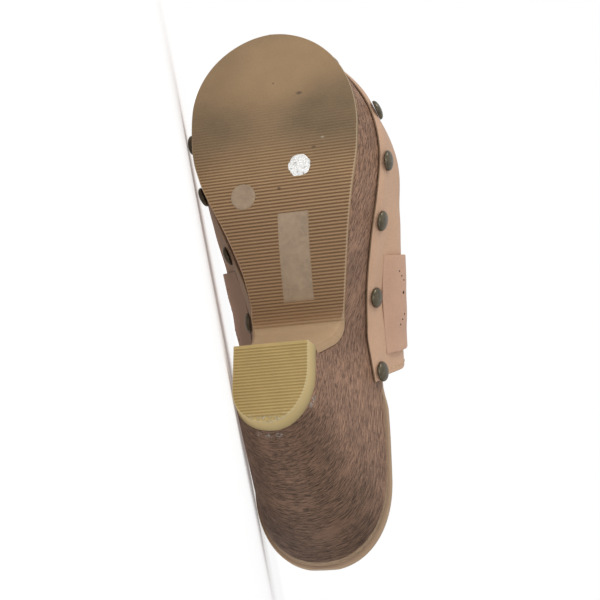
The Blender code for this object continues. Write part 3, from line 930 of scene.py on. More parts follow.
def bare_panel():
    """Flat moulded rubber, a little greyer and more worn than the ribs."""
    look = Finish("bare_panel", specular=0.3)
    tint = colours()
    place = look.object_place()
    cloud = look.noise(place, 130.0, 4.0, 0.6, 0.5)
    fine = look.noise(place, 1000.0, 3.0)
    stain = look.fade(look.noise(place, 260.0, 4.0, 0.6, 0.9), 0.48, 0.62)
    colour = look.mix(look.fade(cloud, 0.35, 0.65), tint.panel, toned(tint.panel, 0.84))
    colour = look.mix(stain * 0.3, colour, toned(tint.panel, 1.25))
    colour = look.shade(colour, 0.95 + 0.1 * fine)
    normal = look.bump(cloud + 0.3 * fine, 0.00016)
    return look.wear(colour, 0.48 + 0.2 * cloud, normal)


def silver_foil():
    """Crumpled silver foil, rubbed through in places."""
    look = Finish("silver_foil", specular=0.6)
    tint = colours()
    place = look.object_place()
    crumple = look.cells(place, 700.0)
    crinkle = look.noise(place, 1500.0, 4.0, 0.7)
    rubbed = look.fade(look.noise(place, 620.0, 5.0, 0.75), 0.53, 0.62)
    # Painted glints: the foil's tone brightens and darkens with its crinkles.
    tone = look.shade(tint.foil, 0.86 + 0.45 * crinkle)
    colour = look.mix(rubbed * 0.7, tone, FOIL_BACKING)
    normal = look.bump(crumple + crinkle, 0.0006)
    return look.wear(colour, 0.22 + 0.3 * rubbed, normal, 0.35 - 0.3 * rubbed)


def leather_finish(name, colour):
    """Smooth matt leather with fine pores, soft clouds and faint creases, and grey painted shade on the
    medial side.
    """
    look = Finish(name, specular=0.35)
    place = look.object_place()
    # From -1 at the lateral lower edge to 1 at the medial one.
    side, _ = look.map_values("skin")
    cloud = look.noise(place, 30.0, 4.0, 0.55, 0.5)
    mottle = look.noise(place, 190.0, 3.0)
    pores = look.cells(place, 1500.0)
    creases = look.cells(place, 620.0, "DISTANCE_TO_EDGE")
    crease = look.fade(creases, 0.0, 0.16)
    tone = look.mix(look.fade(cloud, 0.32, 0.7), colour, toned(colour, 0.90))
    tone = look.mix(mottle * 0.16, tone, toned(colour, 1.25))
    # Painted shade: a little darker along the faint creases.
    tone = look.shade(tone, 0.955 + 0.045 * crease)
    # Painted shade: the medial side is greyed and darkened.
    tone = look.mix(look.fade(side, 0.55, 0.80) * 0.5, tone, colours().leather_medial_shade)
    normal = look.bump(pores * 0.5 + crease * 0.5 + mottle, 0.00009)
    return look.wear(tone, 0.5 + 0.14 * cloud - 0.05 * crease, normal)


def raw_edge(name, colour):
    """Cut edge of a leather piece."""
    look = Finish(name, specular=0.2)
    place = look.object_place()
    fibres = look.noise(place, 1300.0, 4.0, 0.7)
    cloud = look.noise(place, 160.0, 3.0)
    tone = look.mix(fibres, colour, toned(colour, 1.9))
    return look.wear(look.shade(tone, 0.7 + 0.6 * cloud), 0.8, look.bump(fibres, 0.0002))


def footbed_leather():
    """Tan footbed leather, a little browner underneath in painted shade, and browner where the foot stood.
    """
    look = Finish("footbed_leather", specular=0.3)
    tint = colours()
    x, y = look.map_values("plan")
    rise, _ = look.map_values("rim")
    place = look.object_place()
    cloud = look.noise(place, 45.0, 4.0, 0.55, 0.4)
    pores = look.cells(place, 1300.0)
    trodden = look.spot(x, y, (40.0, 1.0), (46.0, 34.0))
    colour = look.mix(look.fade(cloud, 0.3, 0.7), tint.footbed, toned(tint.footbed, 0.88))
    colour = look.mix(trodden * 0.35, colour, toned(tint.footbed, 0.62))
    colour = look.shade(colour, 0.95 + 0.1 * look.noise(place, 420.0, 3.0))
    # Painted shade: the underside and the lowest part of the rolled rim are darkened.
    under_shade = look.fade(rise, 0.10, 0.0)
    colour = look.mix(under_shade, colour, tint.footbed_under_shade)
    normal = look.bump(pores * 0.6 + cloud, 0.0001)
    return look.wear(colour, 0.52 + 0.12 * cloud - 0.08 * trodden, normal)


def antique_brass():
    """Brass nail heads with a dark olive patina in patches, pitted here and there."""
    look = Finish("antique_brass", specular=0.5, metallic=0.85)
    look.shader.inputs["Coat Weight"].default_value = 0.3
    look.shader.inputs["Coat Roughness"].default_value = 0.10
    tint = colours()
    place = look.object_place()
    patina = look.noise(place, 420.0, 5.0, 0.65)
    pits = look.noise(place, 2200.0, 3.0)
    colour = look.mix(look.fade(patina, 0.35, 0.65), tint.stud, toned(tint.stud, 0.62))
    colour = look.mix(look.fade(pits, 0.60, 0.72) * 0.5, colour, BRASS_PIT)
    normal = look.bump(patina + pits * 0.3, 0.00007)
    return look.wear(colour, 0.26 + 0.22 * patina, normal)


def waxed_thread():
    """Twisted tan thread."""
    look = Finish("waxed_thread", specular=0.3)
    tint = colours()
    place = look.object_place()
    twist = look.noise(place, 2600.0, 2.0)
    colour = look.shade(tint.thread, 0.8 + 0.4 * twist)
    return look.wear(colour, 0.6 + 0.1 * twist, look.bump(twist, 0.0001))


def punched_hole_shade():
    """Painted shade of a punched hole: a dark disc on the strap, with a little lint."""
    look = Finish("punched_hole_shade", specular=0.1)
    place = look.object_place()
    lint = look.noise(place, 3000.0, 2.0)
    colour = look.mix(lint, HOLE_SHADE, HOLE_LINT)
    return look.wear(colour, 0.85 + 0.1 * lint)


def pale_floor():
    """Matt white floor, lit from within a little more where it runs out into the white surround."""
    look = Finish("pale_floor", specular=0.1)
    tint = colours()
    place = look.object_place()
    cloud = look.noise(place, 6.0, 2.0)
    colour = look.shade(tint.floor, 0.99 + 0.02 * cloud)
    away = look.node("ShaderNodeVectorMath", {"operation": "LENGTH"}, (place,), "Value")
    glow = look.mix(look.fade(away, *FLOOR_GLOW_FROM), FLOOR_GLOW_NEAR, FLOOR_GLOW_FAR)
    look.feed(look.shader.inputs["Emission Color"], glow)
    look.shader.inputs["Emission Strength"].default_value = FLOOR_GLOW
    return look.wear(colour, 0.85 + 0.05 * cloud)


def corner_steps(radius, steps=3):
    """Inset and rise of a quarter round, from flat underneath to upright."""
    angles = [0.5 * math.pi * i / steps for i in range(steps + 1)]
    return [(radius * (1.0 - math.sin(a)), radius * (1.0 - math.cos(a))) for a in angles]


def round_section(steps_low, steps_high, flat, upright):
    """Names the points of a closed section with round corners, from the lateral lower edge on."""
    low = [("low", *step) for step in steps_low]
    high = [("high", *step) for step in reversed(steps_high)]
    sides = low[1:] + [("side", share, 0.0) for share in spread(0.0, 1.0, upright)[1:-1]] + high[:-1]
    out = [("under", share, 0.0, "lateral") for share in spread(0.0, 1.0, flat)]
    out += [(*step, "medial") for step in sides]
    out += [("over", share, 0.0, "medial") for share in spread(0.0, 1.0, flat)]
    out += [(*step, "lateral") for step in reversed(sides)]
    return out + [out[0]]


def closed_ring(under, lip, side, over):
    """Columns of a closed section: underneath, up the medial side, over, down the lateral side."""
    out = [("under", share, "lateral") for share in under]
    up = [("lip", share) for share in lip] + [("side", share) for share in side]
    out += [(kind, share, "medial") for kind, share in up]
    out += [("over", share, "medial") for share in over]
    out += [(kind, share, "lateral") for kind, share in reversed(up)]
    return out + [out[0]]


def across(kind, share, side, lateral, medial):
    """Y of a column of a closed ring, between the two edges of its level."""
    if kind == "under":
        return lateral + (medial - lateral) * share
    if kind == "over":
        return medial + (lateral - medial) * share
    return lateral if side == "lateral" else medial


class CLOG_OT_sole_unit(bpy.types.Operator):
    """Builds the wood-look platform and block heel"""

    bl_idname = "clog.sole_unit"
    bl_label = "Sole unit"

    def execute(self, context):
        radius = sizes().edge_round / MM
        steps = corner_steps(radius)
        columns = round_section(steps, steps, 6, 12)
        back = from_end(HEEL_BACK_X, HEEL_WIDEST_X, 30)
        rows = stations(
            back[0],
            back,
            spread(HEEL_WIDEST_X, SEAT_FRONT_X, 16),
            [SEAT_FRONT_X, TONGUE_X],
            spread(TONGUE_X, ARCH_X, 16),
            spread(ARCH_X, BALL_X, 26),
            towards_end(BALL_X, TOP_TIP_X, 34),
        )
        around = {side: self.walk(rows, side) for side in ("lateral", "medial")}

        def height(column, top_x):
            kind, first, second, _ = column
            tall = wall_height(top_x)
            if kind == "under":
                return 0.0
            if kind == "over":
                return tall
            if kind == "low":
                return second
            if kind == "high":
                return tall - second
            return radius + (tall - 2.0 * radius) * first

        def point(column, top_x):
            kind, first, _, side = column
            if kind in ("under", "over"):
                level = 0.0 if kind == "under" else 1.0
                a = wall(top_x, level, "lateral", -radius)
                b = wall(top_x, level, "medial", -radius)
                return a.lerp(b, first if kind == "under" else 1.0 - first)
            inset = first if kind in ("low", "high") else 0.0
            return wall(top_x, height(column, top_x) / wall_height(top_x), side, -inset)

        def depth(column, top_x):
            return wall_height(top_x) - height(column, top_x)

        def grain(column, top_x):
            level = top_z(top_x) - depth(column, top_x)
            return around[column[3]][top_x] * UV_UNIT, level * UV_UNIT

        def brim(column, top_x):
            return depth(column, top_x) * UV_UNIT, 0.0

        bm = lay_sheet(columns, rows, point, [("grain", grain), ("brim", brim)], looped=True)
        add_piece("platform_sole", bm, [wood_look()], ["sole_unit"])
        return {"FINISHED"}

    def walk(self, rows, side):
        """Distance round the sole over its mid height, from the middle of the back."""
        level = 0.6
        sign = 1.0 if side == "lateral" else -1.0
        gone = 0.0
        last = wall(rows[0], level, side)
        out = {}
        for top_x in rows:
            place = wall(top_x, level, side)
            gone += (place - last).length
            last = place
            out[top_x] = sign * gone
        return out


def ribbed_rows(walked, pitch, start, end):
    """Stations for ribs along walked, a list of (distance, station), with their groove shares."""
    distances = [d for d, _ in walked]

    def station(distance):
        i = min(max(bisect.bisect_right(distances, distance) - 1, 0), len(walked) - 2)
        (d0, x0), (d1, x1) = walked[i], walked[i + 1]
        return x0 + (x1 - x0) * (distance - d0) / (d1 - d0)

    rows = {}
    number = 0
    while True:
        for step, share in zip(RIB_STEPS, RIB_DEPTHS):
            distance = start + (number + step) * pitch
            if distance >= end:
                return rows
            rows[station(distance)] = share
        number += 1


class CLOG_OT_outsole(bpy.types.Operator):
    """Builds the ribbed rubber outsole with its bare panel, bare disc and scrap of foil"""

    bl_idname = "clog.outsole"
    bl_label = "Outsole"

    def execute(self, context):
        depth = sizes().rib_depth / MM
        walked = self.walk()
        length = {x: d for d, x in walked}
        start = length[min(length, key=lambda x: abs(x - RIBS_FROM_X))]
        end = length[min(length, key=lambda x: abs(x - RIBS_TO_X))]
        ribs = ribbed_rows(walked, sizes().rib_pitch / MM, start, end)
        plain = spread(TONGUE_X, min(ribs), 22)[:-1]
        plain += [x for x in towards_end(BALL_X, TOP_TIP_X, 44) if x > max(ribs) + 0.3]
        groove = {x: 0.0 for x in plain}
        for x, share in ribs.items():
            worn = ramp(smooth(TREAD_ROWS, 1, x), *RIBS_FADE_X)
            groove[x] = share * (1.0 - worn) * (0.4 + 0.6 * ramp(x, *RIBS_GROW_X))
        columns = closed_ring(spread(0.0, 1.0, 24), LIP_TURNS, (0.5, 0.9), spread(0.0, 1.0, 4))

        def point(column, top_x):
            kind, share, side = column
            cut = groove[top_x] * depth
            lip = TREAD_LIP[0] + (TREAD_LIP[1] - TREAD_LIP[0]) * ramp(top_x, *TREAD_LIP_X)
            if kind == "under":
                deep, inset = cut, lip
            elif kind == "over":
                deep, inset = OUTSOLE_THICKNESS, TREAD_TOP_INSET
            elif kind == "lip":
                turn = 0.5 * math.pi * share
                deep = cut * (1.0 - share * 0.4) + lip * (1.0 - math.cos(turn))
                inset = lip * (1.0 - math.sin(turn))
            else:
                deep, inset = lip + (OUTSOLE_THICKNESS - lip) * share, 0.0
            x, z, lateral, medial = tread_line(top_x, deep, -inset)
            return x, across(kind, share, side, lateral, medial), z

        def tread_map(column, top_x):
            share = {"under": 1.0, "lip": 0.75}.get(column[0], 0.0)
            rim = 1.0 if column[0] == "lip" and column[1] > 0.2 else 0.0
            return rim * UV_UNIT, groove[top_x] * share * UV_UNIT

        maps = [("plan", plan_map(point)), ("ribs", tread_map)]
        bm = lay_sheet(columns, sorted(groove), point, maps, looped=True)
        add_piece("tread", bm, [tread_rubber()], ["outsole"], 0.9)
        self.panel()
        self.disc()
        self.foil()
        return {"FINISHED"}

    def walk(self):
        """Distance along the tread from the heel breast, against the section."""
        out = []
        gone = 0.0
        last = None
        for top_x in spread(TONGUE_X, TOP_TIP_X, 3200):
            place = Vector((smooth(TREAD_ROWS, 1, top_x), smooth(TREAD_ROWS, 2, top_x)))
            gone += (place - last).length if last else 0.0
            last = place
            out.append((gone, top_x))
        return out

    def on_tread(self, x, y, proud):
        """Point proud of the tread at a plan position."""
        low, high = TONGUE_X, TOP_TIP_X
        for _ in range(40):
            middle = 0.5 * (low + high)
            if smooth(TREAD_ROWS, 1, middle) < x:
                low = middle
            else:
                high = middle
        px, pz, _, _ = tread_line(low, -proud)
        return px, y, pz

    def panel(self):
        (x0, y0), (x1, y1) = PANEL_ENDS
        edge = PANEL_EDGE[-1]
        shares = [*PANEL_EDGE, *spread(edge, 1.0 - edge, 10)[1:-1]]
        shares += [1.0 - e for e in reversed(PANEL_EDGE)]

        def point(share, t):
            fall = min(share, 1.0 - share) / edge
            end = min(t, 1.0 - t) / PANEL_END
            proud = PANEL_PROUD * min(1.0, fall) ** 0.5 * min(1.0, end) ** 0.5
            if min(fall, end) < 0.2:
                proud -= SUNK
            x = x0 + (x1 - x0) * t
            y = y0 + (y1 - y0) * t + PANEL_WIDTH * (share - 0.5)
            return self.on_tread(x, y, proud)

        self.lie_on_tread("bare_tread_panel", shares, spread(0.0, 1.0, 40), point, bare_panel())

    def lie_on_tread(self, name, columns, rows, point, finish):
        """Adds a thin piece whose faces all look down from the tread."""
        bm = lay_sheet(columns, rows, point)
        down = laid_turn((0.0, 0.0, -1.0))
        if sum(face.normal.dot(down) for face in bm.faces) < 0:
            bmesh.ops.reverse_faces(bm, faces=bm.faces)
        add_piece(name, bm, [finish], (), 1.2)

    def disc(self):
        def point(turn, ring):
            share, proud = ring
            x = DISC_CENTRE[0] + DISC_RADIUS * share * math.cos(turn)
            y = DISC_CENTRE[1] + DISC_RADIUS * share * math.sin(turn)
            return self.on_tread(x, y, proud)

        turns = spread(0.0, 2.0 * math.pi, 48)
        self.lie_on_tread("bare_size_disc", turns, DISC_RINGS, point, bare_panel())

    def foil(self):
        def point(turn, ring):
            ragged = 1.0 + 0.10 * noise.noise((3.0 * math.cos(turn), 3.0 * math.sin(turn), 1.7))
            reach = FOIL_RADIUS * ragged * ring
            x = FOIL_CENTRE[0] + 1.06 * reach * math.cos(turn)
            y = FOIL_CENTRE[1] + 0.98 * reach * math.sin(turn)
            crumple = 0.16 * noise.noise((0.9 * x, 0.9 * y, 0.0)) * (1.0 - ring**6)
            return self.on_tread(x, y, 0.2 + crumple - 0.22 * ring**8)

        turns = spread(0.0, 2.0 * math.pi, 56)
        self.lie_on_tread("foil_scrap", turns, spread(0.0, 1.0, 14), point, silver_foil())


class CLOG_OT_heel_lift(bpy.types.Operator):
    """Builds the ribbed rubber lift under the heel"""

    bl_idname = "clog.heel_lift"
    bl_label = "Heel lift"

    def execute(self, context):
        depth = LIFT_RIB_SHARE * sizes().rib_depth / MM
        walked = [(x - LIFT_BACK_X, x) for x in spread(LIFT_BACK_X, LIFT_FRONT_X, 400)]
        length = LIFT_FRONT_X - LIFT_BACK_X
        start, stop = LIFT_RIBS
        ribs = ribbed_rows(walked, sizes().lift_rib_pitch / MM, start, length - stop)
        plain = from_end(LIFT_BACK_X, LIFT_WIDEST_X, 40)
        groove = {x: 0.0 for x in plain if x < min(ribs) - 0.05}
        groove.update(ribs)
        groove[LIFT_FRONT_X] = 0.0
        over = spread(0.0, 1.0, 4)[1:-1]
        columns = closed_ring(spread(0.0, 1.0, 20), (0.1, 0.5, 1.0), (0.2, 0.45, 0.7, 1.0), over)

        def level(x, z, inset):
            share = (x - LIFT_BACK_X) / length
            taper = LIFT_TAPER * (1.0 - z / LIFT_HEIGHT)
            out = []
            for side in ("lateral", "medial"):
                turn = lift_share(x, side)
                out.append(max((LIFT_HALF_WIDTH - taper) * turn - inset * turn**0.3, 0.0))
            place = x + (taper + inset) * (1.0 - share)
            return place, LIFT_CENTRE_Y + out[0], LIFT_CENTRE_Y - out[1]

        def height(column, x):
            kind, share, _ = column
            cut = groove[x] * depth
            if kind == "under":
                return cut
            if kind == "over":
                return LIFT_HEIGHT
            if kind == "lip":
                return cut * (1.0 - 0.5 * share) + LIFT_LIP * (1.0 - math.cos(0.5 * math.pi * share))
            return LIFT_HEIGHT * share

        def point(column, x):
            kind, share, side = column
            z = height(column, x)
            inset = LIFT_LIP if kind == "under" else 0.0
            if kind == "lip":
                inset = LIFT_LIP * (1.0 - math.sin(0.5 * math.pi * share))
            place, lateral, medial = level(x, z, inset)
            return place, across(kind, share, side, lateral, medial), z

        def rise_map(column, x):
            share = {"under": 1.0, "lip": 0.7}.get(column[0], 0.0)
            rise = -1.0 if column[0] == "under" else height(column, x)
            return rise * UV_UNIT, groove[x] * share * UV_UNIT

        maps = [("plan", plan_map(point)), ("ribs", rise_map)]
        bm = lay_sheet(columns, sorted(groove), point, maps, looped=True)
        add_piece("heel_top_piece", bm, [lift_rubber()], ["heel_lift"], 0.9)
        return {"FINISHED"}


class CLOG_OT_footbed(bpy.types.Operator):
    """Builds the leather footbed with its rolled rim"""

    bl_idname = "clog.footbed"
    bl_label = "Footbed"

    def execute(self, context):
        back = from_end(HEEL_BACK_X - FOOTBED_LIP + FOOTBED_ROLL, HEEL_WIDEST_X, 28)
        rows = stations(
            back[0],
            back,
            spread(HEEL_WIDEST_X, ARCH_X, 20),
            spread(ARCH_X, BALL_X, 20),
            towards_end(BALL_X, FOOTBED_TIP_X - FOOTBED_INSET, 24),
        )

        def level(x, rise):
            lip = FOOTBED_LIP + (-FOOTBED_INSET - FOOTBED_LIP) * ramp(x, *LIP_ENDS_X)
            roll = 1.0 - ((rise - 0.5) / 0.5) ** 2
            grow = lip - FOOTBED_ROLL * (1.0 - roll)
            lateral = top_y(x, "lateral", grow, FOOTBED_TIP_X)
            medial = top_y(x, "medial", grow, FOOTBED_TIP_X)
            return lateral, medial, top_z(x) + GAP + FOOTBED_THICKNESS * rise

        def rim_height(u):
            """Height on the rolled rim, from 0 underneath to 1 on top."""
            if u <= UNDER_END:
                return 0.0
            if u < RIM_END:
                return (u - UNDER_END) / RIM_SPAN
            if u <= TOP_END:
                return 1.0
            return (1.0 - u) / RIM_SPAN

        def point(u, x):
            lateral, medial, z = level(x, rim_height(u))
            if u <= UNDER_END:
                return x, lateral + (medial - lateral) * u / UNDER_END, z
            if u < RIM_END:
                return x, medial, z
            if u <= TOP_END:
                share = (u - RIM_END) / (TOP_END - RIM_END)
                dish = DISH_DEPTH * (1.0 - (2.0 * share - 1.0) ** 4) * ramp(x, *DISH_X)
                return x, medial + (lateral - medial) * share, z - dish
            return x, lateral, z

        def rim(u, x):
            return rim_height(u) * UV_UNIT, 0.0

        columns = stations(
            0.0,
            spread(0.0, UNDER_END, 4),
            spread(UNDER_END, RIM_END, 10),
            spread(RIM_END, TOP_END, 18),
            spread(TOP_END, 1.0, 10),
        )
        maps = [("plan", plan_map(point)), ("rim", rim)]
        bm = lay_sheet(columns, rows, point, maps, looped=True)
        add_piece("leather_footbed", bm, [footbed_leather()], ["footbed"], 1.1)
        return {"FINISHED"}


def upper_columns(low, middle, high):
    """Columns from the lateral lower edge over the crest to the medial one."""
    half = stations(
        0.0,
        spread(0.0, EDGE_SHARE, low),
        spread(EDGE_SHARE, SHOULDER_SHARE, middle),
        spread(SHOULDER_SHARE, 1.0, high),
    )
    return [s - 1.0 for s in half] + [1.0 - s for s in half[-2::-1]]


def pull(top_x, t):
    """How far the leather swells out between the nails that draw it in."""
    side = "lateral" if t < 0 else "medial"
    nearest = min(abs(top_x - x) for x in STUDS_X[side])
    s = 1.0 - abs(t)
    low = ramp(s, 0.0, 0.05) * (1.0 - ramp(s, EDGE_SHARE, 0.42))
    return NAIL_SWELL * low * ramp(nearest, *NAIL_REACH)


def pared(way_in, edge):
    """Share of the full thickness of a leather piece at a distance from its edge."""
    least, reach = edge
    return least + (1.0 - least) * ramp(way_in, 0.0, reach)


def leather_wall(piece, thickness):
    """Gives the leather its thickness, pared down where the piece's weights are low."""
    piece.vertex_groups.new(name="pared")
    solid = piece.modifiers.new("leather", "SOLIDIFY")
    solid.vertex_group = "pared"
    solid.thickness_vertex_group = 0.0
    solid.thickness = thickness
    solid.offset = 1.0
    solid.use_even_offset = True
    solid.material_offset_rim = 1
    soften = piece.modifiers.new("cut_edge", "BEVEL")
    soften.width = CUT_EDGE_ROUND
    soften.segments = 2
    soften.limit_method = "ANGLE"
    soften.angle_limit = 1.0
    soften.harden_normals = False
    return piece


def skin_map(t, top_x):
    """Place on the upper: -1 at the lateral lower edge, 1 at the medial one, and the station."""
    return t * UV_UNIT, top_x * UV_UNIT


class CLOG_OT_upper(bpy.types.Operator):
    """Builds the closed leather upper"""

    bl_idname = "clog.upper"
    bl_label = "Upper"

    def execute(self, context):
        rows = stations(
            COLLAR_X,
            spread(COLLAR_X, STRAP_X[0], 6),
            spread(STRAP_X[0], STRAP_X[1], 22),
            spread(STRAP_X[1], CREST_TOE[0], 24),
            towards_end(CREST_TOE[0], TOP_TIP_X + GAP, 34),
        )

        def point(t, top_x):
            if top_x > SWELL_END_X or abs(t) < 0.5:
                return upper_point(top_x, t)
            return upper_skin(top_x, t, pull(top_x, t))[0]

        def weight(t, top_x):
            return pared(1.0 - abs(t), UPPER_PARED)

        bm = lay_sheet(upper_columns(8, 10, 24), rows, point, [("skin", skin_map)], weight=weight)
        tint = colours()
        finish = leather_finish("upper_leather", tint.leather)
        edge = raw_edge("raw_edge", tint.raw_edge)
        piece = add_piece("leather_upper", bm, [finish, edge], ["upper"], 3.0)
        leather_wall(piece, sizes().leather)
        return {"FINISHED"}


class CLOG_OT_saddle_strap(bpy.types.Operator):
    """Builds the saddle strap with dark discs of painted shade for its punched holes, and the stitches of
    the collar behind it
    """

    bl_idname = "clog.saddle_strap"
    bl_label = "Saddle strap"

    def execute(self, context):
        columns = [t for t in upper_columns(8, 20, 24) if abs(t) < STRAP_END - 0.004]
        columns = [-STRAP_END, *columns, STRAP_END]
        rows = spread(*STRAP_X, 26)
        lift = sizes().leather / MM + GAP

        def point(t, top_x):
            near = ramp(STRAP_END - abs(t), 0.0, STRAP_PARED[1])
            swell = (0.5 * pull(top_x, t) + STRAP_TUCK) * near - STRAP_TUCK
            return upper_skin(top_x, t, lift + swell)[0]

        def weight(t, top_x):
            return pared(STRAP_END - abs(t), STRAP_PARED)

        bm = lay_sheet(columns, rows, point, [("skin", skin_map)], weight=weight)
        tint = colours()
        finish = leather_finish("strap_leather", tint.strap)
        edge = raw_edge("strap_edge", toned(tint.strap, 0.55))
        slot = "saddle_strap"
        piece = add_piece("saddle_strap_leather", bm, [finish, edge], [slot], 3.0)
        leather_wall(piece, sizes().strap_leather)
        self.stitches()
        self.holes()
        return {"FINISHED"}

    def stitches(self):
        bm = bmesh.new()
        top_x = COLLAR_X + STITCH_INSET
        lift = sizes().leather / MM
        pitch = sizes().stitch_pitch / MM
        scale = Matrix.Diagonal((0.5 * sizes().stitch_length, *STITCH_GIRTH, 1.0))
        gone = pitch
        last = upper_skin(top_x, -STITCH_REACH, lift)[0]
        for t in spread(-STITCH_REACH, STITCH_REACH, 1500):
            place, out, along = upper_skin(top_x, t, lift)
            gone += (place - last).length
            last = place
            if gone >= pitch:
                gone -= pitch
                seat = seated(place + out * 0.08, out, along) @ scale
                bmesh.ops.create_uvsphere(bm, u_segments=8, v_segments=6, radius=1.0, matrix=seat)
        add_piece("collar_stitches", bm, [waxed_thread()], (), 1.2)

    def holes(self):
        lift = sizes().leather / MM + GAP + sizes().strap_leather / MM
        # Each punched hole is a thin dark disc on the strap: painted shade for its inside.
        bm = bmesh.new()
        for sign in (-1.0, 1.0):
            self.hole(bm, BIG_HOLE[0], sign * BIG_HOLE[1], lift, BIG_HOLE_SCALE)
            for ahead, around in HOLE_STEPS:
                for back in (-1.0, 1.0):
                    for up in (-1.0, 1.0):
                        t = sign * (HOLES_AT + up * around)
                        self.hole(bm, HOLES_X + back * ahead, t, lift, 1.0)
        bmesh.ops.recalc_face_normals(bm, faces=bm.faces)
        add_piece("strap_hole_shades", bm, [punched_hole_shade()], (), 1.2)

    def hole(self, bm, top_x, t, lift, scale):
        place, out, along = upper_skin(top_x, t, lift)
        radius = sizes().hole_radius * scale
        bmesh.ops.create_cone(
            bm,
            cap_ends=True,
            segments=14,
            radius1=radius * 1.15,
            radius2=radius,
            depth=HOLE_DEPTH,
            matrix=seated(place + out * 0.03, out, along),
        )


def stud_seat(top_x, side):
    """Place and outward direction of a stud on the outside of the leather."""
    height = 1.0 - STUD_DEPTH / wall_height(top_x)
    grow = GAP + sizes().leather / MM + GAP
    if top_x >= TOP_TIP_X:
        place = wall(TOP_TIP_X + grow, height, side, grow)
        rise = wall(TOP_TIP_X + grow, 1.0, side, grow) - place
        return place, Vector((rise.z, 0.0, -rise.x)).normalized()
    place = wall(top_x, height, side, grow)
    along = wall(top_x + 1.0, height, side, grow) - wall(top_x - 1.0, height, side, grow)
    rise = wall(top_x, 1.0, side, grow) - place
    out = rise.cross(along) if side == "lateral" else along.cross(rise)
    return place, out.normalized()


class CLOG_OT_studs(bpy.types.Operator):
    """Builds the domed brass nail heads along the lower edge of the upper"""

    bl_idname = "clog.studs"
    bl_label = "Studs"

    def execute(self, context):
        brass = antique_brass()
        for side, places in STUDS_X.items():
            for number, top_x in enumerate(places, 1):
                self.stud(f"stud_{side}_{number}", *stud_seat(top_x, side), brass)
        self.stud("stud_toe", *stud_seat(TOP_TIP_X, "lateral"), brass)
        return {"FINISHED"}

    def stud(self, node, place, out, brass):
        radius = sizes().stud_radius
        rise = sizes().stud_rise
        rim = 0.24 * rise
        profile = [(0.0, 0.0), (radius * 0.97, 0.0), (radius, 0.10 * rise), (radius, rim * 0.7)]
        for i in range(1, 13):
            angle = 0.5 * math.pi * i / 12
            profile.append((radius * math.cos(angle) * 0.985, rim + (rise - rim) * math.sin(angle)))
        bm = bmesh.new()
        verts = [bm.verts.new((r, 0.0, z)) for r, z in profile]
        for a, b in zip(verts, verts[1:]):
            bm.edges.new((a, b))
        bmesh.ops.spin(
            bm,
            geom=bm.verts[:] + bm.edges[:],
            cent=(0.0, 0.0, 0.0),
            axis=(0.0, 0.0, 1.0),
            angle=2.0 * math.pi,
            steps=36,
            use_merge=True,
        )
        bmesh.ops.remove_doubles(bm, verts=bm.verts, dist=WELD)
        bmesh.ops.recalc_face_normals(bm, faces=bm.faces)
        facing = laid_turn(out).to_track_quat("Z", "Y").to_matrix().to_4x4()
        bmesh.ops.transform(bm, matrix=Matrix.Translation(laid(place)) @ facing, verts=bm.verts)
        add_piece(node.replace("stud", "nail_head"), bm, [brass], [node], 1.0)


# The stage: camera in the row frame, glow of the surround from level to overhead, and lamps.
CAMERA_PLACE = Vector((0.23399, -0.54210, 0.01145))
CAMERA_RIGHT = Vector((0.15881, 0.10819, 0.98133))
CAMERA_UP = Vector((-0.90041, -0.39179, 0.18895))
CAMERA_TURN = math.radians(4.70)
LENS = 75.17
SENSOR = 36.0
SKY_GLOW = (0.0, 1.0, 0.34, 0.86)
WHITE = (1.0, 1.0, 1.0, 1.0)
FLOOR_HALF = 6.0
FLOOR_DROP = 0.0002
LAMP_AIM = Vector((0.0, 0.0, 0.04))
LAMPS = (
    # name, place, watts, width
    ("toe_side", (-0.85, -0.80, 0.95), 6.0, 0.6),
    ("low_front", (0.45, -1.25, 0.22), 1.8, 0.5),
)


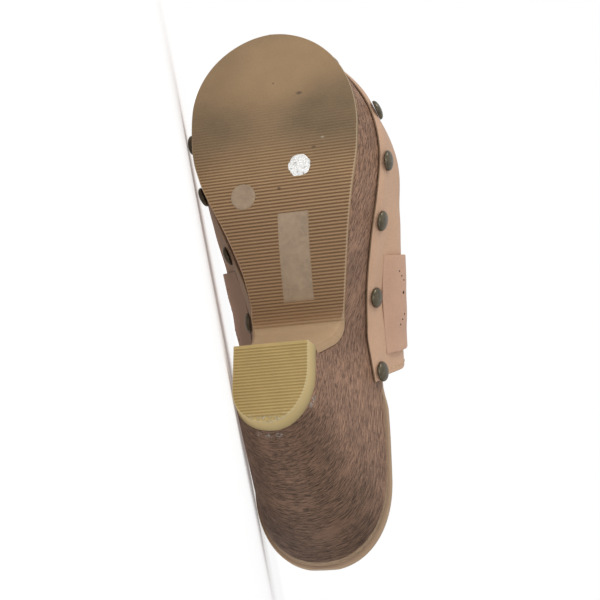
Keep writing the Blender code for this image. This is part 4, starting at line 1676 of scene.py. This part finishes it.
class CLOG_OT_stage(bpy.types.Operator):
    """Builds the pale floor, the soft lights and the camera"""

    bl_idname = "clog.stage"
    bl_label = "Stage"

    def execute(self, context):
        self.floor()
        self.lights(context.scene)
        self.camera(context.scene)
        return {"FINISHED"}

    def floor(self):
        bm = bmesh.new()
        bmesh.ops.create_grid(bm, x_segments=8, y_segments=8, size=FLOOR_HALF)
        bmesh.ops.translate(bm, vec=(0.0, 0.0, -FLOOR_DROP), verts=bm.verts)
        mesh = bpy.data.meshes.new("floor")
        bm.to_mesh(mesh)
        bm.free()
        mesh.materials.append(pale_floor())
        floor = bpy.data.objects.new("floor", mesh)
        bpy.context.scene.collection.objects.link(floor)

    def lights(self, scene):
        """A white surround that shines brighter from above, and two soft lamps."""
        world = bpy.data.worlds.new("studio")
        world.use_nodes = True
        tree = world.node_tree
        surround = tree.nodes["Background"]
        place = tree.nodes.new("ShaderNodeTexCoord")
        parts = tree.nodes.new("ShaderNodeSeparateXYZ")
        glow = tree.nodes.new("ShaderNodeMapRange")
        for key, value in zip(("From Min", "From Max", "To Min", "To Max"), SKY_GLOW):
            glow.inputs[key].default_value = value
        backdrop = tree.nodes.new("ShaderNodeBackground")
        backdrop.inputs["Color"].default_value = WHITE
        seen = tree.nodes.new("ShaderNodeLightPath")
        either = tree.nodes.new("ShaderNodeMixShader")
        surround.inputs["Color"].default_value = WHITE
        for source, target in (
            (place.outputs["Generated"], parts.inputs[0]),
            (parts.outputs["Z"], glow.inputs["Value"]),
            (glow.outputs[0], surround.inputs["Strength"]),
            (seen.outputs["Is Camera Ray"], either.inputs[0]),
            (surround.outputs[0], either.inputs[1]),
            (backdrop.outputs[0], either.inputs[2]),
            (either.outputs[0], tree.nodes["World Output"].inputs["Surface"]),
        ):
            tree.links.new(source, target)
        scene.world = world
        scene.view_settings.view_transform = "Standard"
        scene.view_settings.look = "None"
        for name, place, power, size in LAMPS:
            lamp = bpy.data.lights.new(name, "AREA")
            lamp.energy = power
            lamp.size = size
            light = bpy.data.objects.new(name, lamp)
            light.location = place
            aim = LAMP_AIM - Vector(place)
            light.rotation_euler = aim.to_track_quat("-Z", "Y").to_euler()
            scene.collection.objects.link(light)

    def camera(self, scene):
        right = CAMERA_RIGHT.normalized()
        up = (CAMERA_UP - right * CAMERA_UP.dot(right)).normalized()
        back = right.cross(up)
        turn = Matrix.Rotation(-CAMERA_TURN, 3, up)
        axes = Matrix((turn @ right, up, turn @ back)).transposed()
        lens = bpy.data.cameras.new("photo_view")
        lens.lens = LENS
        lens.sensor_width = SENSOR
        lens.clip_start = 0.01
        camera = bpy.data.objects.new("photo_view", lens)
        camera.matrix_world = Matrix.Translation(CAMERA_PLACE) @ axes.to_4x4()
        scene.collection.objects.link(camera)
        scene.camera = camera


OPERATORS = (
    CLOG_OT_sole_unit,
    CLOG_OT_outsole,
    CLOG_OT_heel_lift,
    CLOG_OT_footbed,
    CLOG_OT_upper,
    CLOG_OT_saddle_strap,
    CLOG_OT_studs,
    CLOG_OT_stage,
)


class CLOG_PT_builder(bpy.types.Panel):
    """Lists the pieces of the clog in the sidebar"""

    bl_idname = "CLOG_PT_builder"
    bl_label = "Platform clog"
    bl_space_type = "VIEW_3D"
    bl_region_type = "UI"
    bl_category = "Clog"

    def draw(self, context):
        for operator in OPERATORS:
            self.layout.operator(operator.bl_idname)
        for group in (context.scene.clog_sizes, context.scene.clog_colours):
            for name in group.__annotations__:
                self.layout.prop(group, name)


CLASSES = (ClogSizes, ClogColours, *OPERATORS, CLOG_PT_builder)


def register():
    for cls in CLASSES:
        bpy.utils.register_class(cls)
    bpy.types.Scene.clog_sizes = bpy.props.PointerProperty(type=ClogSizes)
    bpy.types.Scene.clog_colours = bpy.props.PointerProperty(type=ClogColours)


def unregister():
    del bpy.types.Scene.clog_colours
    del bpy.types.Scene.clog_sizes
    for cls in reversed(CLASSES):
        bpy.utils.unregister_class(cls)


def main():
    register()
    bpy.ops.clog.sole_unit()
    bpy.ops.clog.outsole()
    bpy.ops.clog.heel_lift()
    bpy.ops.clog.footbed()
    bpy.ops.clog.upper()
    bpy.ops.clog.saddle_strap()
    bpy.ops.clog.studs()
    bpy.ops.clog.stage()


if __name__ == "__main__":
    main()
